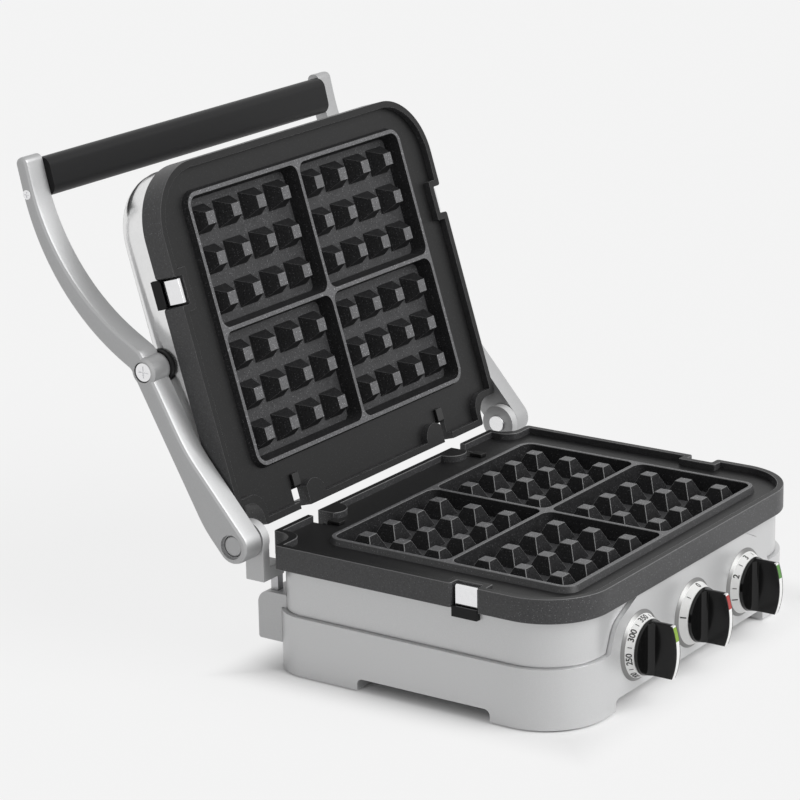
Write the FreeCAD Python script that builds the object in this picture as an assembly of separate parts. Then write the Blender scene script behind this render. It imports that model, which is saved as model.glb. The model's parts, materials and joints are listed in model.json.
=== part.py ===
"""Countertop waffle maker: a base, two studded plates, and a lid on swinging arms with a floating hinge.

Sizes are millimetres. In the design frame x runs to the right seen from the front, y to the back and z up.
x = y = 0 is the centre of the stud grid and z = 0 is the table. Lid pieces are drawn with the lid closed
and then swung open about the hinge, and the whole is last moved so that the origin is under its middle.
"""
import FreeCAD
import Part
import math
import os

V = FreeCAD.Vector
ORIGIN = V(0, 0, 0)
X_AXIS = V(1, 0, 0)
Y_AXIS = V(0, 1, 0)
Z_AXIS = V(0, 0, 1)

# Waffle grid: wells of studs, two wells each way
PITCH_X = 27.6
PITCH_Y = 27.2
COLUMNS = 4
ROWS = 3
DIVIDER_PITCH_X = 38.5
DIVIDER_PITCH_Y = 38.3
STUD_TOP = 8.5
STUD_BASE = 19.0
STUD_HEIGHT = 11.0
STUD_Z = 88.0
RIDGE_TOP = 2.7
RIDGE_MARGIN = 18.0
RIDGE_SLOPE = 1.6
WELL_DRAFT = 2.5
WELL_RADIUS = 7.0

# Plate casting
PLATE_OVERHANG_SIDE = 1.9
PLATE_OVERHANG_FRONT = 3.6
PLATE_OVERHANG_BACK = 9.6
PLATE_RADIUS = 44.0
PLATE_FLOOR = 4.0
SKIRT_HEIGHT = 16.0
SKIRT_WALL = 3.5
LIP_WALL = 4.5
LIP_RISE = 0.4
SHELF_DROP = 4.2
PLATE_GAP = 1.25
EDGE_RADIUS = 2.0
BARREL_NOTCH_INSET = 21.3
BARREL_NOTCH_SETBACK = 8.1
BARREL_NOTCH_RADIUS = 14.0
DOME_X = 72.5
DOME_RADIUS = 11.5
HOOK_X = 86.0
HOOK_NOTCH_WIDTH = 11.0
HOOK_NOTCH_DEPTH = 16.0
HOOK_WIDTH = 7.0
HOOK_THICK = 2.0
HOOK_REACH = 8.0
HOOK_CLEARANCE = 0.3

# Base housing
WALL = 2.6
CASE_HALF_WIDTH = 151.5
CASE_FRONT = -109.9
CASE_BACK = 119.5
CASE_RADIUS_FRONT = 41.7
CASE_RADIUS_BACK = 26.3
TUB_GROW = 1.4
BAND_INSET = 1.9
TUB_RIM = 2.4
PARTING_Z = 41.4
GROOVE_HEIGHT = 0.9
GROOVE_DEPTH = 1.0
FLANGE_WIDTH = 11.4
LEG_Z = 1.2
LEG_FLOOR = 2.4
ARCH_HEIGHT = 9.2
ARCH_RADIUS = 4.0
LEG_LENGTH_FRONT = 56.9
LEG_LENGTH_BACK = 71.1
LEG_WIDTH = 54.5
PANEL_HALF_BOTTOM = 103.5
PANEL_HALF_SHOULDER = 96.0
PANEL_HALF_TOP = 68.0
PANEL_SHOULDER_Z = 59.0
PANEL_SHOULDER_RADIUS = 18.0
PANEL_GAP = 0.8
PANEL_BACKING = 4.0
PANEL_BACKING_THICK = 1.6

# Feet, bottom cover and base fasteners
FOOT_RADIUS = 8.0
FOOT_RECESS = 1.0
FOOT_INSET = 27.5
FOOT_SETBACK_FRONT = 27.9
FOOT_SETBACK_BACK = 17.5
COVER_INSET = 61.5
COVER_MARGIN = 5.0
COVER_THICK = 1.5
COVER_LAP = 9.0
VENT_COUNT = 7
VENT_LENGTH = 46.0
VENT_WIDTH = 4.0
VENT_PITCH = 18.0
CASE_POST_INSET = 8.0
CASE_POST_SETBACK_FRONT = 37.9
CASE_POST_SETBACK_BACK = 43.5
CASE_POST_RADIUS = 4.4
SCREW_RADIUS = 1.9
SCREW_HEAD_RADIUS = 3.3
SCREW_HEAD = 2.2
SCREW_CLEARANCE = 0.1
SCREW_GRIP = 14.0
RECESS_DEPTH = 1.1
RECESS_WIDTH = 0.9
RECESS_SHARE = 0.62
COVER_BOSS_RADIUS = 4.0
COVER_BOSS = 6.0

# Controls
DIAL_PITCH = 68.5
DIAL_Z = 37.0
DIAL_RADIUS = 23.4
DIAL_RIM_RADIUS = 20.9
DIAL_RIM = 1.8
DIAL_FACE_RADIUS = 18.4
DIAL_THICK = 7.0
SHAFT_RADIUS = 3.0
SHAFT_CLEARANCE = 0.05
BUSH_RADIUS = 4.8
BUSH_CLEARANCE = 0.2
KNOB_CLEARANCE = 0.4
KNOB_RADIUS = 18.4
KNOB_TAPER = 0.6
KNOB_DISC = 1.8
HUB_RADIUS = 6.0
BLADE_THICK = 5.0
BLADE_FILLET = 4.5
BLADE_CORNER = 15.8
BLADE_BULGE = 3.6
STRIP_WIDTH = 3.6
STRIP_THICK = 1.4
CONTROL_HALF = 13.0
CONTROL_DEPTH = 24.0
SWITCH_DEPTH = 30.0
SHAFT_IN_CONTROL = 18.0
SHAFT_IN_KNOB = 2.8

# Heating elements and reflectors
HEATER_RADIUS = 3.25
HEATER_GAP = 0.4
HEATER_HALF_X = 100.0
HEATER_HALF_Y = 70.0
HEATER_BEND = 18.0
HEATER_TAIL_X = 14.0
HEATER_TAIL_Y = 91.0
REFLECTOR_DEPTH = 12.0
SHEET = 0.8
CLAMP_LENGTH = 12.0
CLAMP_WIDTH = 10.0
CLAMP_GAP = 0.05
TERMINAL_X = 0.0
TERMINAL_Y = 84.0
TERMINAL_LENGTH = 36.0
TERMINAL_WIDTH = 18.0
TERMINAL_HEIGHT = 14.0
TERMINAL_WAYS = 3
GLAND_X = 0.0
GLAND_Z = 27.0
GLAND_RADIUS = 6.8
GLAND_FLANGE = 2.2
GLAND_BORE = 4.0

# Plate release clips
CLIP_Y = -34.6
CLIP_WIDTH = 16.3
CLIP_SIDE_GAP = 0.25
CLIP_FACE_INSET = 1.5
CLIP_THICK = 1.5
CLIP_TOP_DROP = 1.2
CLIP_HOOK = 3.9
CLIP_FOOT = 1.6
CLIP_NOTCH_WIDTH = 19.5
CLIP_NOTCH_INSET = 6.0
CLIP_TOOTH = 1.5
CLIP_TOOTH_HEIGHT = 4.5
CLIP_PIVOT_INSET = 5.6
CLIP_PIVOT_DROP = 2.0
CLIP_EYE_RADIUS = 1.7
CLIP_EYE_WIDTH = 4.0
CLIP_PIN_RADIUS = 0.9
CLIP_PIN_CLEARANCE = 0.05
CLIP_SPRING_RADIUS = 1.5
POCKET_WALL = 1.1
POCKET_FLOOR = 1.2
POCKET_DEPTH = 5.6
POCKET_RISE = 1.4
POCKET_OUTER_WALL = 1.4
POCKET_FRONT_GAP = 1.4
POCKET_FIT = 0.2

# Floating hinge
HINGE_BEHIND = 13.1
HINGE_Z = 88.3
EAR_INSET = 5.0
EAR_OVERHANG = 2.0
EAR_RADIUS = 12.7
EAR_WIDTH = 14.4
FOOT_BLOCK_INSET = 20.3
FOOT_BLOCK_Z = 61.0
FOOT_BLOCK_HEIGHT = 9.0
POST_INSET = 16.9
POST_BEHIND = 4.5
POST_SIDE = 5.6
POST_CLEARANCE = 0.12
TOWER_INNER_INSET = 32.5
TOWER_OUTER_INSET = 9.5
TOWER_DEPTH = 15.1
TOWER_Z = 17.0
TOWER_TOP = 50.5
TOWER_RADIUS = 9.0
TOWER_FLOOR = 5.0
TOWER_SCREW_INSET = 2.7
HINGE_PIN_RADIUS = 4.0
HINGE_PIN_CLEARANCE = 0.05
HINGE_PIN_HEAD_RADIUS = 6.0
HINGE_PIN_HEAD = 2.0
OPEN_ANGLE = 106.9

# Arms and handle
ARM_GAP = 3.0
ARM_THICK = 16.8
ARM_BOSS_RADIUS = 12.0
ARM_FOOT_ANGLE = 49.0
ARM_FOOT_LENGTH = 44.4
ARM_LEG_WIDTH = 14.0
ARM_BOW_WIDTH = 15.5
ARM_END_WIDTH = 9.8
ARM_KNEE_DY = 6.4
ARM_KNEE_DZ = 6.7
ARM_BOW_DY = 14.7
ARM_BOW_DZ = 70.2
ARM_TOP = 15.6
ARM_BOW_RADIUS_BACK = 166.0
ARM_BOW_RADIUS_FRONT = 150.0
ARM_ROUNDING = 3.4
KNEE_BOSS_RADIUS = 9.6
CAP_RADIUS = 7.1
CAP_THICK = 3.0
CAP_RECESS = 5.0
CAP_CLEARANCE = 0.2
CAP_RING = 1.2
GRIP_DY = 157.9
GRIP_DZ = 222.9
GRIP_HEIGHT = 26.0
GRIP_THICK = 15.0
GRIP_END_GAP = 0.3
CORE_HEIGHT = 22.4
CORE_THICK = 5.0
CORE_CLEARANCE = 0.1
HANDLE_SCREW_DROP = 8.6
HANDLE_SCREW_RADIUS = 1.5
HANDLE_SCREW_HEAD_RADIUS = 3.25
HANDLE_SCREW_HEAD = 1.8
HANDLE_SCREW_BITE = 14.0

# Lid
PIVOT_Y = 10.4
PIVOT_RISE = 32.6
PIVOT_SCREW_RADIUS = 4.0
PIVOT_CLEARANCE = 0.05
PIVOT_HEAD_RADIUS = 6.3
PIVOT_HEAD = 3.0
PIVOT_RECESS = 3.8
PIVOT_HEAD_CLEARANCE = 0.6
PIVOT_BUSH_RADIUS = 11.0
PIVOT_BUSH_GAP = 0.3
PIVOT_BLOCK_INNER_INSET = 25.5
PIVOT_BLOCK_OUTER_INSET = 4.5
LID_INSET_SIDE = 0.5
LID_OVERHANG_FRONT = 1.1
LID_SETBACK = 8.5
LID_RADIUS_FRONT = 42.0
LID_RADIUS_BACK = 26.0
LID_SHEET = 1.2
LID_WALL_HEIGHT = 13.0
LID_CROWN = ((1.2, 5.0), (3.6, 9.5), (8.0, 13.5), (15.0, 16.8), (30.0, 19.6))
LID_FRAME_THICK = 2.6
LID_FRAME_FIT = 0.3
LID_TAIL_INSET = 39.5
LID_TAIL_SETBACK = 1.5
LID_TAB_INNER_INSET = 23.5
LID_TAB_OUTER_INSET = 6.0
LID_TAB_BEHIND = 1.5
LID_TAB_SCREW_INSET = 15.0
LID_TAB_SCREW_SETBACK = 3.0
LID_TAB_SCREW_HEAD_RADIUS = 2.6
LID_POST_INSET = 8.0
LID_POST_SETBACK_FRONT = 37.9
LID_POST_SETBACK_BACK = 43.5
LID_POST_RADIUS = 4.4

# Places tied to the housing's sides, front and back
PLATE_HALF_WIDTH = CASE_HALF_WIDTH + PLATE_OVERHANG_SIDE
CASE_POST_X = CASE_HALF_WIDTH - CASE_POST_INSET
FOOT_X = CASE_HALF_WIDTH - FOOT_INSET
CLIP_FACE_X = CASE_HALF_WIDTH - CLIP_FACE_INSET
CLIP_NOTCH_X = CASE_HALF_WIDTH - CLIP_NOTCH_INSET
CLIP_PIVOT_X = CASE_HALF_WIDTH - CLIP_PIVOT_INSET
EAR_INNER = CASE_HALF_WIDTH - EAR_INSET
EAR_OUTER = CASE_HALF_WIDTH + EAR_OVERHANG
ARM_INNER = CASE_HALF_WIDTH + ARM_GAP
TOWER_INNER = CASE_HALF_WIDTH - TOWER_INNER_INSET
TOWER_OUTER = CASE_HALF_WIDTH - TOWER_OUTER_INSET
POST_X = CASE_HALF_WIDTH - POST_INSET
FOOT_BLOCK_INNER = CASE_HALF_WIDTH - FOOT_BLOCK_INSET
BARREL_NOTCH_X = CASE_HALF_WIDTH - BARREL_NOTCH_INSET
PIVOT_BLOCK_INNER = CASE_HALF_WIDTH - PIVOT_BLOCK_INNER_INSET
PIVOT_BLOCK_OUTER = CASE_HALF_WIDTH - PIVOT_BLOCK_OUTER_INSET
LID_HALF_WIDTH = CASE_HALF_WIDTH - LID_INSET_SIDE
LID_POST_X = CASE_HALF_WIDTH - LID_POST_INSET
LID_TAIL_HALF = CASE_HALF_WIDTH - LID_TAIL_INSET
LID_TAB_INNER = CASE_HALF_WIDTH - LID_TAB_INNER_INSET
LID_TAB_OUTER = CASE_HALF_WIDTH - LID_TAB_OUTER_INSET
LID_TAB_SCREW_X = CASE_HALF_WIDTH - LID_TAB_SCREW_INSET
COVER_HALF_WIDTH = CASE_HALF_WIDTH - COVER_INSET
FRONT_ARCH_HALF = CASE_HALF_WIDTH - LEG_WIDTH
PLATE_FRONT = CASE_FRONT - PLATE_OVERHANG_FRONT
FOOT_FRONT_Y = CASE_FRONT + FOOT_SETBACK_FRONT
CASE_POST_FRONT_Y = CASE_FRONT + CASE_POST_SETBACK_FRONT
LID_FRONT = CASE_FRONT - LID_OVERHANG_FRONT
LID_POST_FRONT_Y = CASE_FRONT + LID_POST_SETBACK_FRONT
SIDE_ARCH_FRONT = CASE_FRONT + LEG_LENGTH_FRONT
PLATE_BACK = CASE_BACK + PLATE_OVERHANG_BACK
FOOT_BACK_Y = CASE_BACK - FOOT_SETBACK_BACK
CASE_POST_BACK_Y = CASE_BACK - CASE_POST_SETBACK_BACK
LID_BACK = CASE_BACK - LID_SETBACK
LID_POST_BACK_Y = CASE_BACK - LID_POST_SETBACK_BACK
LID_TAIL_BACK = CASE_BACK - LID_TAIL_SETBACK
LID_TAB_BACK = CASE_BACK + LID_TAB_BEHIND
LID_TAB_SCREW_Y = CASE_BACK - LID_TAB_SCREW_SETBACK
TUB_BACK = CASE_BACK + TUB_GROW
HINGE_Y = CASE_BACK + HINGE_BEHIND
POST_Y = CASE_BACK + POST_BEHIND
TOWER_BACK = CASE_BACK + TOWER_DEPTH
BARREL_NOTCH_Y = CASE_BACK - BARREL_NOTCH_SETBACK
SIDE_ARCH_BACK = CASE_BACK - LEG_LENGTH_BACK

# Places worked out from the driving sizes
SKIRT_Z = STUD_Z - SKIRT_HEIGHT
MID_Z = STUD_Z + PLATE_GAP / 2
LID_STUD_Z = STUD_Z + PLATE_GAP
LID_SKIRT_Z = LID_STUD_Z + SKIRT_HEIGHT
CASE_FLOOR_TOP = ARCH_HEIGHT + WALL
FLANGE_INSET = WALL + FLANGE_WIDTH
BAND_INNER = BAND_INSET + WALL
PANEL_Y = CASE_FRONT - TUB_GROW
PANEL_BACK_Y = CASE_FRONT + BAND_INNER
CONTROL_Y = PANEL_BACK_Y + PANEL_BACKING_THICK
DIAL_FACE_Y = PANEL_Y - DIAL_THICK
KNOB_BACK_Y = DIAL_FACE_Y - KNOB_CLEARANCE
KNOB_FACE_Y = KNOB_BACK_Y - KNOB_DISC
DIAL_PLACES = (("left", -DIAL_PITCH), ("middle", 0.0), ("right", DIAL_PITCH))
HINGE = V(0, HINGE_Y, HINGE_Z)
ARM_OUTER = ARM_INNER + ARM_THICK
CLIP_PIVOT_Z = SKIRT_Z - CLIP_PIVOT_DROP
PIVOT_CLOSED = V(0, PIVOT_Y, LID_STUD_Z + PIVOT_RISE)
GRIP = V(0, HINGE_Y + GRIP_DY, HINGE_Z + GRIP_DZ)


def swing_open(place):
    """A point of the closed lid, carried to where it is with the lid open."""
    turn = FreeCAD.Rotation(X_AXIS, -OPEN_ANGLE)
    return HINGE + turn.multVec(place - HINGE)


PIVOT = swing_open(PIVOT_CLOSED)


# Outlines and solids
def rounded_wire(corners, put):
    """Closed wire through corners (a, b, radius), each rounded by a tangent arc; put(a, b) gives the point."""
    points = [V(a, b, 0) for a, b, radius in corners]
    count = len(corners)
    arcs = []
    for i in range(count):
        corner = points[i]
        radius = corners[i][2]
        back = (points[i - 1] - corner).normalize()
        ahead = (points[(i + 1) % count] - corner).normalize()
        half = back.getAngle(ahead) / 2
        reach = radius / math.tan(half)
        middle = (back + ahead).normalize() * (radius / math.sin(half) - radius)
        arcs.append((corner + back * reach, corner + middle, corner + ahead * reach))
    edges = []
    for i in range(count):
        begin, middle, end = [put(p.x, p.y) for p in arcs[i]]
        if corners[i][2] > 0:
            edges.append(Part.Arc(begin, middle, end).toShape())
        following = arcs[(i + 1) % count][0]
        start_next = put(following.x, following.y)
        if (start_next - end).Length > 1e-6:
            edges.append(Part.LineSegment(end, start_next).toShape())
    return Part.Wire(Part.__sortEdges__(edges))


def rectangle(a0, a1, b0, b1, radius=0.0):
    return [(a0, b0, radius), (a1, b0, radius), (a1, b1, radius), (a0, b1, radius)]


def plan(corners, z0, z1):
    """Prism of an outline drawn in x and y."""
    wire = rounded_wire(corners, lambda a, b: V(a, b, z0))
    return Part.Face(wire).extrude(V(0, 0, z1 - z0))


def side(corners, x0, x1):
    """Prism of an outline drawn in y and z."""
    wire = rounded_wire(corners, lambda a, b: V(x0, a, b))
    return Part.Face(wire).extrude(V(x1 - x0, 0, 0))


def front(corners, y0, y1):
    """Prism of an outline drawn in x and z."""
    wire = rounded_wire(corners, lambda a, b: V(a, y0, b))
    return Part.Face(wire).extrude(V(0, y1 - y0, 0))


def plan_loft(low, z0, high, z1):
    """Straight-sided solid between two outlines in x and y."""
    wires = [rounded_wire(low, lambda a, b: V(a, b, z0)), rounded_wire(high, lambda a, b: V(a, b, z1))]
    return Part.makeLoft(wires, True, True)


def block(x0, x1, y0, y1, z0, z1):
    return Part.makeBox(x1 - x0, y1 - y0, z1 - z0, V(x0, y0, z0))


def rod(radius, begin, end):
    return Part.makeCylinder(radius, (end - begin).Length, begin, end - begin)


def tube(outer, inner, begin, end):
    return rod(outer, begin, end).cut(rod(inner, begin, end))


def mirrored(shape):
    return shape.mirror(ORIGIN, X_AXIS)


def pair(shape):
    """A right-hand solid and its left-hand mirror image, as one group."""
    return Part.makeCompound([mirrored(shape), shape])


def flipped(shape):
    """The same piece turned over onto the closed lid, about the plane midway between the plates."""
    turned = shape.copy()
    turned.rotate(V(0, 0, MID_Z), Y_AXIS, 180)
    return turned


def opened(shape):
    """A piece of the closed lid, swung open."""
    turned = shape.copy()
    turned.rotate(HINGE, X_AXIS, -OPEN_ANGLE)
    return turned


def case_outline(inset):
    half = CASE_HALF_WIDTH - inset
    front_radius = max(CASE_RADIUS_FRONT - inset, EDGE_RADIUS)
    back_radius = max(CASE_RADIUS_BACK - inset, EDGE_RADIUS)
    return [(-half, CASE_FRONT + inset, front_radius), (half, CASE_FRONT + inset, front_radius),
            (half, CASE_BACK - inset, back_radius), (-half, CASE_BACK - inset, back_radius)]


def lid_outline(inset):
    half = LID_HALF_WIDTH - inset
    front_radius = max(LID_RADIUS_FRONT - inset, EDGE_RADIUS)
    back_radius = max(LID_RADIUS_BACK - inset, EDGE_RADIUS)
    return [(-half, LID_FRONT + inset, front_radius), (half, LID_FRONT + inset, front_radius),
            (half, LID_BACK - inset, back_radius), (-half, LID_BACK - inset, back_radius)]


def plate_outline(inset):
    """Plate edge, moved inwards by inset, with its clip notches and the rear corners cut for the hinge."""
    half = PLATE_HALF_WIDTH - inset
    round_out = max(EDGE_RADIUS - inset, 0.4)
    round_in = EDGE_RADIUS + inset
    notch_half = CLIP_NOTCH_WIDTH / 2 + inset
    notch_x = CLIP_NOTCH_X - inset
    corner_y = BARREL_NOTCH_Y - inset
    corner_x = BARREL_NOTCH_X - inset
    right = [(half, PLATE_FRONT + inset, max(PLATE_RADIUS - inset, EDGE_RADIUS)),
             (half, CLIP_Y - notch_half, round_out), (notch_x, CLIP_Y - notch_half, EDGE_RADIUS / 2),
             (notch_x, CLIP_Y + notch_half, EDGE_RADIUS / 2), (half, CLIP_Y + notch_half, round_out),
             (half, corner_y, round_out), (corner_x, corner_y, BARREL_NOTCH_RADIUS + inset - round_in),
             (corner_x, PLATE_BACK - inset, round_out)]
    left = [(-a, b, radius) for a, b, radius in reversed(right)]
    return right + left


def stud_places():
    """Centres of all studs on a plate."""
    along_x = [DIVIDER_PITCH_X / 2 + PITCH_X * i for i in range(COLUMNS)]
    along_y = [DIVIDER_PITCH_Y / 2 + PITCH_Y * i for i in range(ROWS)]
    return [(sx * x, sy * y) for x in along_x for y in along_y for sx in (-1, 1) for sy in (-1, 1)]


RIDGE_X = DIVIDER_PITCH_X / 2 + PITCH_X * (COLUMNS - 1) + RIDGE_MARGIN
RIDGE_Y = DIVIDER_PITCH_Y / 2 + PITCH_Y * (ROWS - 1) + RIDGE_MARGIN


def well(sign_x, sign_y):
    """Space of one well, open above the ridges."""
    over = 1.0
    flare = WELL_DRAFT / STUD_HEIGHT * over

    def outline(shrink):
        low = RIDGE_TOP / 2 + shrink
        xs = sorted((sign_x * low, sign_x * (RIDGE_X - low)))
        ys = sorted((sign_y * low, sign_y * (RIDGE_Y - low)))
        return rectangle(xs[0], xs[1], ys[0], ys[1], WELL_RADIUS - shrink)

    return plan_loft(outline(WELL_DRAFT), -STUD_HEIGHT, outline(-flare), over)


def stud():
    """One truncated pyramid, rooted a little way into the floor of its well."""
    root = 1.0
    slope = (STUD_BASE - STUD_TOP) / 2 / STUD_HEIGHT
    half_low = STUD_BASE / 2 + slope * root
    half_high = STUD_TOP / 2
    low = rectangle(-half_low, half_low, -half_low, half_low)
    high = rectangle(-half_high, half_high, -half_high, half_high)
    return plan_loft(low, -STUD_HEIGHT - root, high, 0.0)


def waffle_plate():
    """Cast plate seen from its food side: lip, shelf, ridges, wells and studs, hollow behind."""
    bottom = -SKIRT_HEIGHT
    body = plan(plate_outline(0.0), bottom, LIP_RISE)
    body = body.cut(plan(plate_outline(LIP_WALL), -SHELF_DROP, LIP_RISE + 1.0))
    foot_x = RIDGE_X + RIDGE_TOP / 2 + RIDGE_SLOPE
    foot_y = RIDGE_Y + RIDGE_TOP / 2 + RIDGE_SLOPE
    crest_x = foot_x - RIDGE_SLOPE
    crest_y = foot_y - RIDGE_SLOPE
    foot = rectangle(-foot_x, foot_x, -foot_y, foot_y, WELL_RADIUS + RIDGE_TOP + RIDGE_SLOPE)
    crest = rectangle(-crest_x, crest_x, -crest_y, crest_y, WELL_RADIUS + RIDGE_TOP)
    body = body.fuse(plan_loft(foot, -SHELF_DROP, crest, 0.0))
    for sign_x in (-1, 1):
        for sign_y in (-1, 1):
            body = body.cut(well(sign_x, sign_y))
    one_stud = stud()
    studs = []
    for x, y in stud_places():
        studs.append(one_stud.translated(V(x, y, 0)))
    body = body.multiFuse(studs)
    pan_x = RIDGE_X + PLATE_FLOOR
    pan_y = RIDGE_Y + PLATE_FLOOR
    pan = rectangle(-pan_x, pan_x, -pan_y, pan_y, WELL_RADIUS + PLATE_FLOOR)
    hollow = plan(plate_outline(SKIRT_WALL), bottom, -SHELF_DROP - PLATE_FLOOR)
    body = body.cut(hollow.cut(plan(pan, bottom, 0.0)))
    body = body.cut(plan(pan, bottom, -STUD_HEIGHT - PLATE_FLOOR))
    dome_y = PLATE_BACK - LIP_WALL
    dome = rod(DOME_RADIUS, V(DOME_X, dome_y, -SHELF_DROP), V(DOME_X, dome_y, LIP_RISE))
    dome = dome.common(plan(plate_outline(LIP_WALL / 2), -SHELF_DROP, LIP_RISE))
    hook_half = HOOK_NOTCH_WIDTH / 2
    hook_notch = plan(rectangle(HOOK_X - hook_half, HOOK_X + hook_half, PLATE_BACK - HOOK_NOTCH_DEPTH,
                                PLATE_BACK + HOOK_NOTCH_DEPTH, EDGE_RADIUS), bottom, LIP_RISE + 1.0)
    tooth_top = -CLIP_TOP_DROP - CLIP_THICK - HOOK_CLEARANCE
    tooth = block(CLIP_NOTCH_X - CLIP_TOOTH, CLIP_NOTCH_X + CLIP_TOOTH, CLIP_Y - CLIP_WIDTH / 4,
                  CLIP_Y + CLIP_WIDTH / 4, tooth_top - CLIP_TOOTH_HEIGHT, tooth_top)
    for turn in (lambda shape: shape, mirrored):
        body = body.fuse(turn(dome)).fuse(turn(tooth)).cut(turn(hook_notch))
    return body.removeSplitter().translated(V(0, 0, STUD_Z))


def plate_hooks(seat_z):
    """Two bent fingers standing on the housing flange, each lapping over the plate's shelf."""
    leg_back = PLATE_BACK - HOOK_NOTCH_DEPTH + HOOK_THICK + HOOK_CLEARANCE
    leg_front = leg_back - HOOK_THICK
    tip_z = STUD_Z - SHELF_DROP + HOOK_CLEARANCE
    corners = [(leg_back, seat_z, 0), (leg_back, tip_z + HOOK_THICK, HOOK_THICK * 0.9),
               (leg_front - HOOK_REACH, tip_z + HOOK_THICK, 0), (leg_front - HOOK_REACH, tip_z, 0),
               (leg_front, tip_z, 0), (leg_front, seat_z, 0)]
    return pair(side(corners, HOOK_X - HOOK_WIDTH / 2, HOOK_X + HOOK_WIDTH / 2))


# Base housing
def panel_outline(grow):
    """Front control panel above the parting line, with its two shoulders."""
    top = SKIRT_Z
    slope = PANEL_HALF_BOTTOM - PANEL_HALF_SHOULDER
    rise = PANEL_SHOULDER_Z - PARTING_Z
    low_half = PANEL_HALF_BOTTOM + slope / rise * grow + grow
    return [(-low_half, PARTING_Z - grow, 0), (low_half, PARTING_Z - grow, 0),
            (PANEL_HALF_SHOULDER + grow, PANEL_SHOULDER_Z + grow / 2, PANEL_SHOULDER_RADIUS),
            (PANEL_HALF_TOP + grow, top, 0), (-PANEL_HALF_TOP - grow, top, 0),
            (-PANEL_HALF_SHOULDER - grow, PANEL_SHOULDER_Z + grow / 2, PANEL_SHOULDER_RADIUS)]


def parting_groove():
    """Shadow groove round the foot of the band, above the ledge of the tub."""
    low = PARTING_Z
    high = PARTING_Z + GROOVE_HEIGHT
    return plan(case_outline(0.0), low, high).cut(plan(case_outline(BAND_INSET + GROOVE_DEPTH), low, high))


def arches(grow):
    """Spaces between the four legs, under the sides and under the front and back."""
    reach = 2 * CASE_HALF_WIDTH
    low = -ARCH_HEIGHT
    sides = side(rectangle(SIDE_ARCH_FRONT - grow, SIDE_ARCH_BACK + grow, low, ARCH_HEIGHT + grow,
                           ARCH_RADIUS + grow), -reach, reach)
    ends = front(rectangle(-FRONT_ARCH_HALF - grow, FRONT_ARCH_HALF + grow, low, ARCH_HEIGHT + grow,
                           ARCH_RADIUS + grow), -reach, reach)
    return sides.fuse(ends)


def foot_places():
    return [(sx * FOOT_X, y) for sx in (-1, 1) for y in (FOOT_FRONT_Y, FOOT_BACK_Y)]


def case_post_places():
    return [(sx * CASE_POST_X, y) for sx in (-1, 1) for y in (CASE_POST_FRONT_Y, CASE_POST_BACK_Y)]


def cover_screw_places():
    xs = COVER_HALF_WIDTH - COVER_LAP / 2
    y0 = SIDE_ARCH_FRONT + COVER_MARGIN + COVER_LAP / 2
    y1 = SIDE_ARCH_BACK - COVER_MARGIN - COVER_LAP / 2
    return [(sx * xs, y) for sx in (-1, 1) for y in (y0, y1)]


def tower_screw_places():
    xs = TOWER_INNER + TOWER_SCREW_INSET
    return [(sx * xs, TOWER_Z + (PARTING_Z - TOWER_Z) * share) for sx in (-1, 1) for share in (0.25, 0.7)]


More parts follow.
